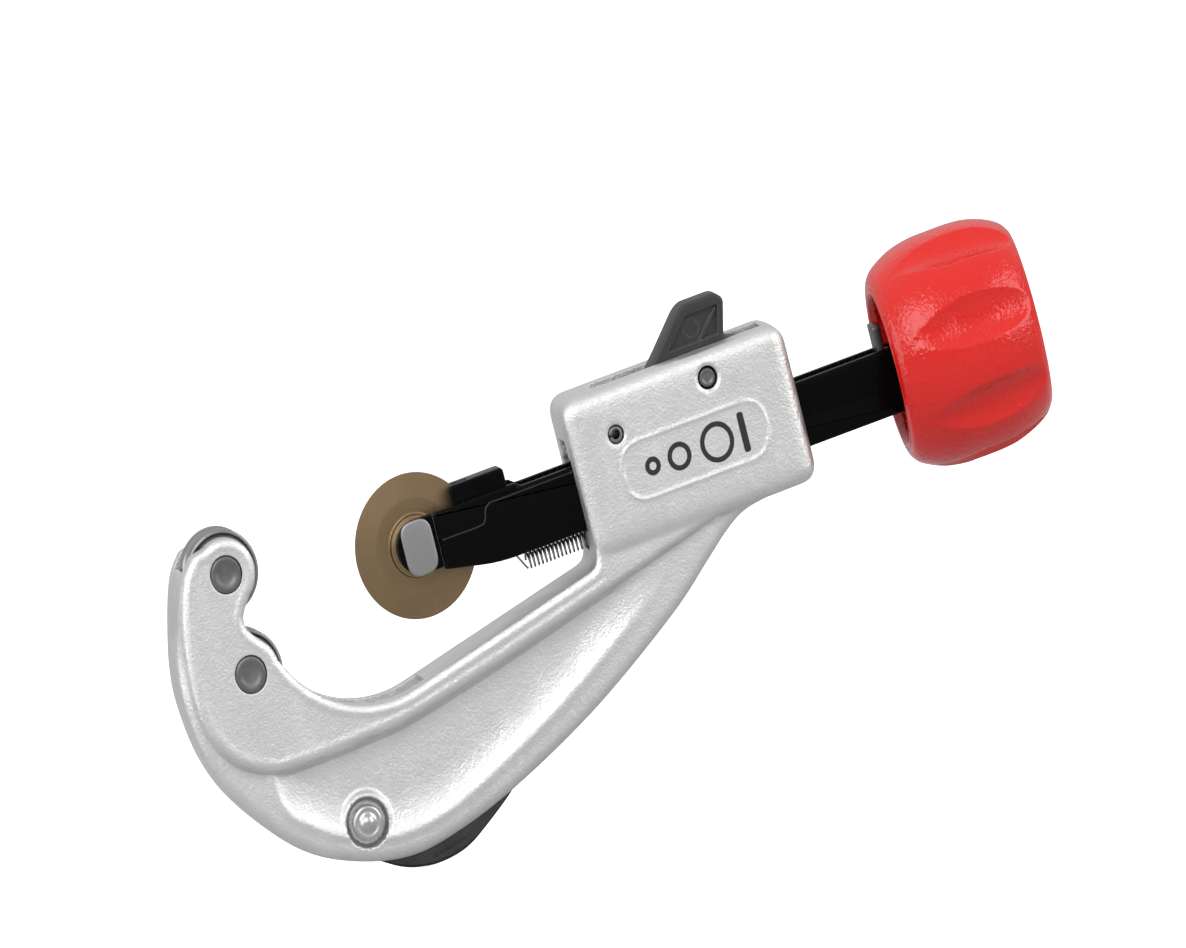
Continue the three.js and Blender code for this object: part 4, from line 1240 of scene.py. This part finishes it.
@dataclass
class Wheel:
    """The cutter wheel."""

    radius: float = 13.2
    half: float = 0.75
    hub: float = 5.6
    hub_half: float = 2.6
    bevel: float = 4.6

    def build(self) -> bpy.types.Object:
        """Builds the wheel: a thin disc ground to an edge, with a stepped hub."""
        side = np.array([
            [self.hub_half, 2.6], [self.hub_half, 5.1], [self.hub_half - 0.25, 5.2], [self.hub_half - 0.3, self.hub],
            [self.half + 0.1, self.hub + 0.15], [self.half, 6.1], [self.half, self.radius - self.bevel],
            [0.04, self.radius]])
        half = softened(side, [0.1, 0.15, 0.1, 0.15, 0.2, 0.2, 0.35, 0.02], 3, closed=False)
        loop = np.concatenate([(half * [-1, 1]), half[::-1]])
        return mesh_of("wheel_disc", turned(loop, Axis.ACROSS, segments=160, closed=True))

    def pieces(self) -> list[Piece]:
        """Builds the wheel."""
        return [Piece(self.build(), BRONZED, "cutter", ("cutter_wheel",), 25.0)]


@dataclass
class Drive:
    """The knob, the feed screw and the nut that holds them together."""

    flutes: int = 8
    flute_middle: float = 123.6
    flute_reach: float = 14.0
    flute_half_angle: float = 12.5
    flute_depth: float = 1.9
    flute_turn: float = 14.0
    columns: int = 448
    flute_softening: float = 0.0002
    pitch: float = 1.5875
    screw: tuple[float, float] = (21.8, 104.7)
    screw_ends: tuple[float, float] = (15.1, 137.1)
    crest: float = 3.5
    root: float = 2.75
    journal: float = 2.5
    outer: Array = field(default_factory=lambda: np.array([
        [106.75, 15.6], [107.3, 16.9], [109.0, 18.4], [113.0, 20.15], [117.3, 20.97], [121.0, 21.13],
        [126.0, 21.13], [130.0, 20.7], [134.0, 19.5], [137.0, 17.9], [138.45, 16.2]]))

    def knob(self) -> bpy.types.Object:
        """Builds the knob.

        Formula: a loop profile turned about the screw's axis. On its outer side the radius loses the flute's
        depth times q, where q is one less the end term less the square of the angle from the flute's middle,
        and a soft maximum keeps q above nought. The end term is the fourth power of the stretch along the
        flute behind its middle, which ends it round, and in front it grows so that the flute ends in a point.

        Returns:
            The mesh object.
        """
        skin = through(self.outer, 9)
        inner = softened(np.array([
            [138.6, 14.6], [138.6, 9.0], [138.0, 8.2], [131.6, 8.0], [131.6, 2.6], [108.1, 2.6], [108.1, 3.9],
            [120.0, 3.9], [120.0, 13.3], [108.0, 13.5], [106.75, 13.95], [106.6, 14.8]]),
            [0.5, 0.5, 0.5, 0.4, 0.1, 0.1, 0.2, 0.6, 0.8, 0.5, 0.5, 0.4], 4)
        x, r = np.concatenate([skin, inner]).T
        on_skin = (np.arange(len(x)) < len(skin)).astype(float)
        t = np.linspace(0, 2 * np.pi, self.columns, endpoint=False)
        sector = 2 * np.pi / self.flutes
        first = math.radians(180 - self.flute_turn)
        turn = (t - first + sector / 2) % sector - sector / 2
        run = (x - self.flute_middle) / self.flute_reach
        tip = 1 - np.clip(1 - np.abs(run) ** 1.6, 0, None) ** 2 + np.clip(np.abs(run) - 1, 0, None)
        ends = np.where(run < 0, tip, run ** 4)
        q = 1 - ends[:, None] - (turn / math.radians(self.flute_half_angle)) ** 2
        soft = 0.5 * (q + np.sqrt(q * q + self.flute_softening))
        radius = r[:, None] - self.flute_depth * soft * on_skin[:, None]
        return mesh_of("grip", sheet(self.rounds(x[:, None], radius, t), close_rows=True))

    @staticmethod
    def rounds(x: Array, radius: Array, t: Array) -> Array:
        """Returns rows of points at those X, radii and angles about the screw's axis."""
        return laid(Axis.ALONG, x + 0 * t, radius * np.cos(t), radius * np.sin(t))

    def feed_screw(self) -> bpy.types.Object:
        """Builds the screw.

        Formula: row k of the grid runs along the helix, forward by one pitch in each turn, and its radius is
        the thread's crest or root by its place in the pitch; both ends are held at the journals' shoulders.

        Returns:
            The mesh object.
        """
        low, high = self.screw
        nose, tail = self.screw_ends
        t = np.linspace(0, 2 * np.pi, 33)
        per = 8
        rows = np.arange(-per, int((high - low) / self.pitch * per) + 2)
        root, crest = self.root, self.crest
        wave = np.array([root, root, 2.95, 3.3, crest, crest, 3.3, 2.95])[rows % per]
        x = np.clip(low + rows[:, None] * self.pitch / per + self.pitch * t / (2 * np.pi), low, high)
        inside = (x > low + 1e-6) & (x < high - 1e-6)
        front = np.array([[nose, 0.0], [nose, self.journal], [low, self.journal]])
        rear = np.array([[high, self.journal], [tail - 0.5, self.journal], [tail, self.journal - 0.4], [tail, 0.0]])
        grid = np.concatenate([
            self.rounds(front[:, :1], front[:, 1:], t),
            self.rounds(x, np.where(inside, wave[:, None], root), t),
            self.rounds(rear[:, :1], rear[:, 1:], t),
        ])
        return mesh_of("lead_screw", sheet(grid, close_columns=False))

    def nut(self) -> bpy.types.Object:
        """Builds the hexagon nut in the knob's rear recess, its corners turned off."""
        t = np.radians(np.arange(0, 360, 60) + 30)
        hexagon = 5.0 * np.stack([np.cos(t), np.sin(t)], -1)
        made = mesh_of("end_nut", slab(softened(hexagon, 0.5, 3), 133.0, 136.0, 0.45, Axis.ALONG))
        combine(made, [rod(Axis.ALONG, (0, 0), 2.6, 132, 137, 40)])
        return made

    def washer(self) -> bpy.types.Object:
        """Builds the washer under the nut."""
        return mesh_of("end_washer", ring(Axis.ALONG, (0, 0), (2.7, 6.5), (131.9, 132.7), 0.2, 3, 56))

    def pieces(self) -> list[Piece]:
        """Builds everything that turns with the knob."""
        return [
            Piece(self.knob(), ENAMEL, "knob", ("knob",), 50.0),
            Piece(self.feed_screw(), BRIGHT, "knob", ("feed_screw",), 40.0),
            Piece(self.nut(), BRIGHT, "knob", ("knob_nut",)),
            Piece(self.washer(), BRIGHT, "knob", ("knob_washer",)),
        ]


@dataclass
class Latch:
    """The thumb lever with its half nut, pins and springs."""

    pin: tuple[float, float] = LATCH_PIN
    stop: tuple[float, float] = STOP_PIN
    top: float = 16.15
    width: float = 8.8
    panel_depth: float = 0.75
    long_run: tuple[float, float] = (21.9, 79.8)
    long_level: float = -9.7
    short_run: tuple[float, float] = (8.57, 11.97)
    short_x: float = 77.2
    press_share: float = 0.4

    def lever(self) -> bpy.types.Object:
        """Builds the lever: its side outline carried across, with a sunk panel, ridge and round mark."""
        (x, z), top, deep = self.pin, self.top, self.panel_depth
        line = np.array([
            [x - 17.6, 5.57], [x - 7, 5.57], [x - 3.4, z - 4.9], [x + 2.6, z - 4.7], [x + 5, z + 0.6],
            [x + 12.4, z + 1.4], [x + 12.4, z + 3.2], [x + 6.3, top + 0.4], [x + 8.2, top + 7.1],
            [x + 6.6, top + 8.45], [x - 0.6, top + 8.45], [x - 2.3, top + 7.5], [x - 9.4, top + 0.5],
            [x - 17.6, 9.17]])
        h = self.width / 2
        radii = [0.4, 2.0, 1.5, 1.5, 1.0, 0.6, 0.6, 1.0, 1.1, 1.1, 1.2, 1.5, 3.0, 0.6]
        made = mesh_of("thumb_lever", slab(softened(line, radii, 5), -h, h, 0.45))
        panel = softened(np.array([[x - 6.0, top + 1.2], [x + 5.3, top + 1.2], [x + 6.6, top + 6.4],
                                   [x - 0.7, top + 6.4]]), 0.4, 3)
        cuts = [slab(panel, -h - 1, -h + deep, 0.0), slab(panel, h - deep, h + 1, 0.0),
                rod(Axis.ACROSS, self.pin, 1.9, -6, 6, 40)]
        for y in (-h + deep, h - deep):
            cuts.append(ring(Axis.ACROSS, (x + 0.1, 20.2), (1.55, 1.75), (y - 0.1, y + 0.1), sides=40))
        combine(made, cuts)
        ridge = np.array([[x + 0.6, top + 1.0], [x + 1.4, top + 1.0], [x + 6.1, top + 5.4], [x + 6.0, top + 6.2]])
        combine(made, [slab(ridge, -h + deep - 0.45, h - deep + 0.45, 0.0)], Join.ADD)
        eased(made, 0.1, 1, 50.0)
        return made

    def half_nut(self) -> bpy.types.Object:
        """Builds the half nut under the lever's arm, with the screw's shape cut from it."""
        made = mesh_of("nut_half", slab(rectangle(50.0, 60.0, 1.2, 5.27, 0.3, 2), -3.9, 3.9, 0.25))
        combine(made, [rod(Axis.ALONG, (0, 0), 3.8, 49, 61, 40)])
        return made

    def hinge_pin(self) -> bpy.types.Object:
        """Builds the lever's pin, sunk in its hole, with a turned rim and a shallow dish."""
        side = np.array([[-10.75, 0.0], [-10.8, 0.9], [-11.05, 1.25], [-11.0, 1.6], [-10.7, 1.8], [0.0, 1.8]])
        half = softened(side, 0.15, 3, closed=False)
        return mesh_of("hinge_pin", turned(mirrored(half), Axis.ACROSS, self.pin, 40))

    def roll_pin(self) -> bpy.types.Object:
        """Builds the hollow stop pin with a slit along it."""
        loop = softened(np.array([[-11.55, 0.9], [-11.55, 1.35], [-11.2, 1.65], [11.2, 1.65], [11.55, 1.35],
                                  [11.55, 0.9]]), 0.1, 2)
        made = mesh_of("roll_pin", turned(loop, Axis.ACROSS, self.stop, 40, closed=True))
        x, z = self.stop
        combine(made, [block((x - 2.0, x - 0.5), (-13, 13), (z - 0.25, z + 0.25))])
        return made

    def return_spring(self) -> bpy.types.Object:
        """Builds the long return spring below the slide, with a slanted hook at its front."""
        spring = coil(Axis.ALONG, (0.0, self.long_level), *self.long_run, 1.7, 0.5, 0.88)
        hook = through(np.array([[20.2, -8.1], [20.9, -9.2], [21.7, -10.6], [22.1, -11.1]]), 5)
        path = laid(Axis.ACROSS, np.linspace(-0.3, 0.2, len(hook)), *hook.T)
        wire = tube(path, np.array([0.0, 1.0, 0.0]), 0.22, 7)
        return mesh_of("long_spring", spring.joined(wire))

    def latch_spring(self) -> bpy.types.Object:
        """Builds the short spring under the lever's tail."""
        return mesh_of("short_spring", coil(Axis.UPRIGHT, (self.short_x, 0.0), *self.short_run, 1.8, 0.4, 0.95))

    def pieces(self) -> list[Piece]:
        """Builds the latch: lever, half nut, pins and both springs, the long spring tied to no body and the short one
        to the frame.
        """
        springs = [
            Piece(self.return_spring(), SPRING, None, ("return_spring",), 60.0),
            Piece(self.latch_spring(), SPRING, "frame", ("latch_spring",), 60.0),
        ]
        return [
            Piece(self.lever(), LEVER, "latch", ("latch_lever",), 30.0),
            Piece(self.half_nut(), DARK, "latch", ("half_nut",)),
            Piece(self.hinge_pin(), PIN_END, "frame", ("latch_pin",)),
            Piece(self.roll_pin(), SPRING, "frame", ("stop_roll_pin",)),
            *springs,
        ]

    def give_way(self) -> None:
        """Bakes the long spring's placement into its mesh and gives the short spring a mesh of its own, once they are
        dressed.
        """
        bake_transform(bpy.data.objects["long_spring"])
        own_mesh(bpy.data.objects["short_spring"])


# ---------------------------------------------------------------- studio
@dataclass(frozen=True)
class Lamp:
    """A square softbox: where it hangs and what it faces in metres, its side, and its power in watts."""

    name: str
    at: tuple[float, float, float]
    side: float
    power: float
    aim: tuple[float, float, float] = (0.0, 0.0, 0.04)

    def hang(self) -> None:
        """Hangs it, turned to what it faces."""
        data = bpy.data.lights.new(self.name, "AREA")
        data.shape = "SQUARE"
        data.size = self.side
        data.energy = self.power
        made = bpy.data.objects.new(self.name, data)
        made.location = self.at
        made.rotation_euler = (Vector(self.aim) - Vector(self.at)).to_track_quat("-Z", "Y").to_euler()
        bpy.context.scene.collection.objects.link(made)


@dataclass
class Studio:
    """The camera, the floor and the lights."""

    azimuth: float = 6.8
    elevation: float = 5.8
    roll: float = 17.35
    view_width: float = 0.25407
    upright_share: float = 0.8336
    aim: tuple[float, float] = (37.96, 12.79)
    stand_off: float = 2.0
    far_clip: float = 50.0
    floor_half: float = 6.0
    floor_grey: float = 0.5
    floor_glow: float = 0.92
    sky: tuple[tuple[float, float], ...] = ((0.0, 0.4), (0.58, 0.5), (0.74, 0.8), (1.0, 0.9))
    sky_light: float = 0.9
    sky_seen: float = 1.1
    lamps: tuple[Lamp, ...] = (
        Lamp("key", (-0.5, -0.9, 0.8), 0.9, 8.0),
        Lamp("fill", (0.9, -0.6, 0.4), 0.9, 6.5, (0.02, 0.0, 0.04)),
        Lamp("rim", (-1.0, -0.1, 0.3), 0.7, 3.0),
    )

    def camera(self) -> None:
        """Makes the camera.

        It looks along parallel lines. Its upward direction leans out of its own picture plane by the angle
        whose cosine is the upright share, so that heights in the picture come out taller by one over it.
        """
        a, e = math.radians(self.azimuth), math.radians(self.elevation)
        back = Vector((-math.sin(a) * math.cos(e), -math.cos(a) * math.cos(e), math.sin(e)))
        level = (Vector((1, 0, 0)) - back * back.x).normalized()
        rise = back.cross(level)
        turn = math.radians(self.roll)
        right = level * math.cos(turn) - rise * math.sin(turn)
        up = level * math.sin(turn) + rise * math.cos(turn)
        wheel = Vector(ORIGIN)
        spot = wheel + (right * self.aim[0] + up * self.aim[1]) * MM + back * self.stand_off
        look = Matrix((
            (right.x, up.x, back.x, spot.x), (right.y, up.y, back.y, spot.y),
            (right.z, up.z, back.z, spot.z), (0, 0, 0, 1)))
        c = self.upright_share
        lean = Matrix(((1, 0, 0, 0), (0, c, 0, 0), (0, math.sqrt(1 - c * c), 1, 0), (0, 0, 0, 1)))
        data = bpy.data.cameras.new("camera")
        data.type = "ORTHO"
        data.ortho_scale = self.view_width
        data.clip_end = self.far_clip
        camera = bpy.data.objects.new("camera", data)
        holder = bpy.data.objects.new("camera_holder", None)
        for made in (camera, holder):
            bpy.context.scene.collection.objects.link(made)
        camera.parent = holder
        camera.matrix_parent_inverse = look @ lean
        bpy.context.scene.camera = camera

    def floor(self) -> None:
        """Lays the pale floor, which glows to the eye and not on the tool."""
        corners = [(x * self.floor_half, y * self.floor_half, 0) for x, y in ((-1, -1), (1, -1), (1, 1), (-1, 1))]
        data = bpy.data.meshes.new("floor")
        data.from_pydata(corners, [], [(0, 1, 2, 3)])
        made = bpy.data.objects.new("floor", data)
        bpy.context.scene.collection.objects.link(made)
        material = bpy.data.materials.new("pale_floor")
        material.use_nodes = True
        graph = Graph(material.node_tree)
        eye = graph.node("LightPath").outputs["Is Camera Ray"]
        glow = graph.node("Math", {0: eye, 1: self.floor_glow}, operation="MULTIPLY")
        graph.feed(material.node_tree.nodes["Principled BSDF"], {
            "Base Color": (self.floor_grey, self.floor_grey, self.floor_grey, 1), "Roughness": 1.0,
            "Specular IOR Level": 0.0, "Emission Color": (1, 1, 1, 1), "Emission Strength": glow.outputs[0]})
        data.materials.append(material)

    def world(self) -> None:
        """Makes the surroundings: white to the eye, and in reflections pale above and darker below."""
        world = bpy.data.worlds.new("studio")
        world.use_nodes = True
        bpy.context.scene.world = world
        world.node_tree.nodes.clear()
        graph = Graph(world.node_tree)
        place = graph.node("TexCoord").outputs["Generated"]
        height = graph.node("SeparateXYZ", {0: place}).outputs["Z"]
        share = graph.node("MapRange", {"Value": height, "From Min": -1.0})
        ramp = graph.node("ValToRGB", {0: share.outputs[0]})
        bar = ramp.color_ramp
        bar.interpolation = "EASE"
        for stop, (_, grey) in zip(bar.elements, (self.sky[0], self.sky[-1])):
            stop.color = (grey, grey, grey, 1)
        for level, grey in self.sky[1:-1]:
            bar.elements.new(level).color = (grey, grey, grey, 1)
        light = graph.node("Background", {0: ramp.outputs[0], 1: self.sky_light})
        seen = graph.node("Background", {0: (1, 1, 1, 1), 1: self.sky_seen})
        eye = graph.node("LightPath").outputs["Is Camera Ray"]
        mix = graph.node("MixShader", {0: eye, 1: light.outputs[0], 2: seen.outputs[0]})
        graph.node("OutputWorld", {0: mix.outputs[0]})

    def build(self) -> None:
        """Sets up the whole studio."""
        self.camera()
        self.floor()
        self.world()
        for lamp in self.lamps:
            lamp.hang()
        bpy.context.scene.view_settings.view_transform = "Standard"


def main() -> None:
    """Builds the studio and then every sub-assembly in order."""
    logging.basicConfig(level=logging.INFO, format="%(name)s: %(message)s")
    Studio().build()
    latch = Latch()
    for assembly in (Casting(), Jaw(), Reamer(), Slide(), Wheel(), Drive(), latch):
        for piece in assembly.pieces():
            piece.dress()
    latch.give_way()


if __name__ == "__main__":
    main()
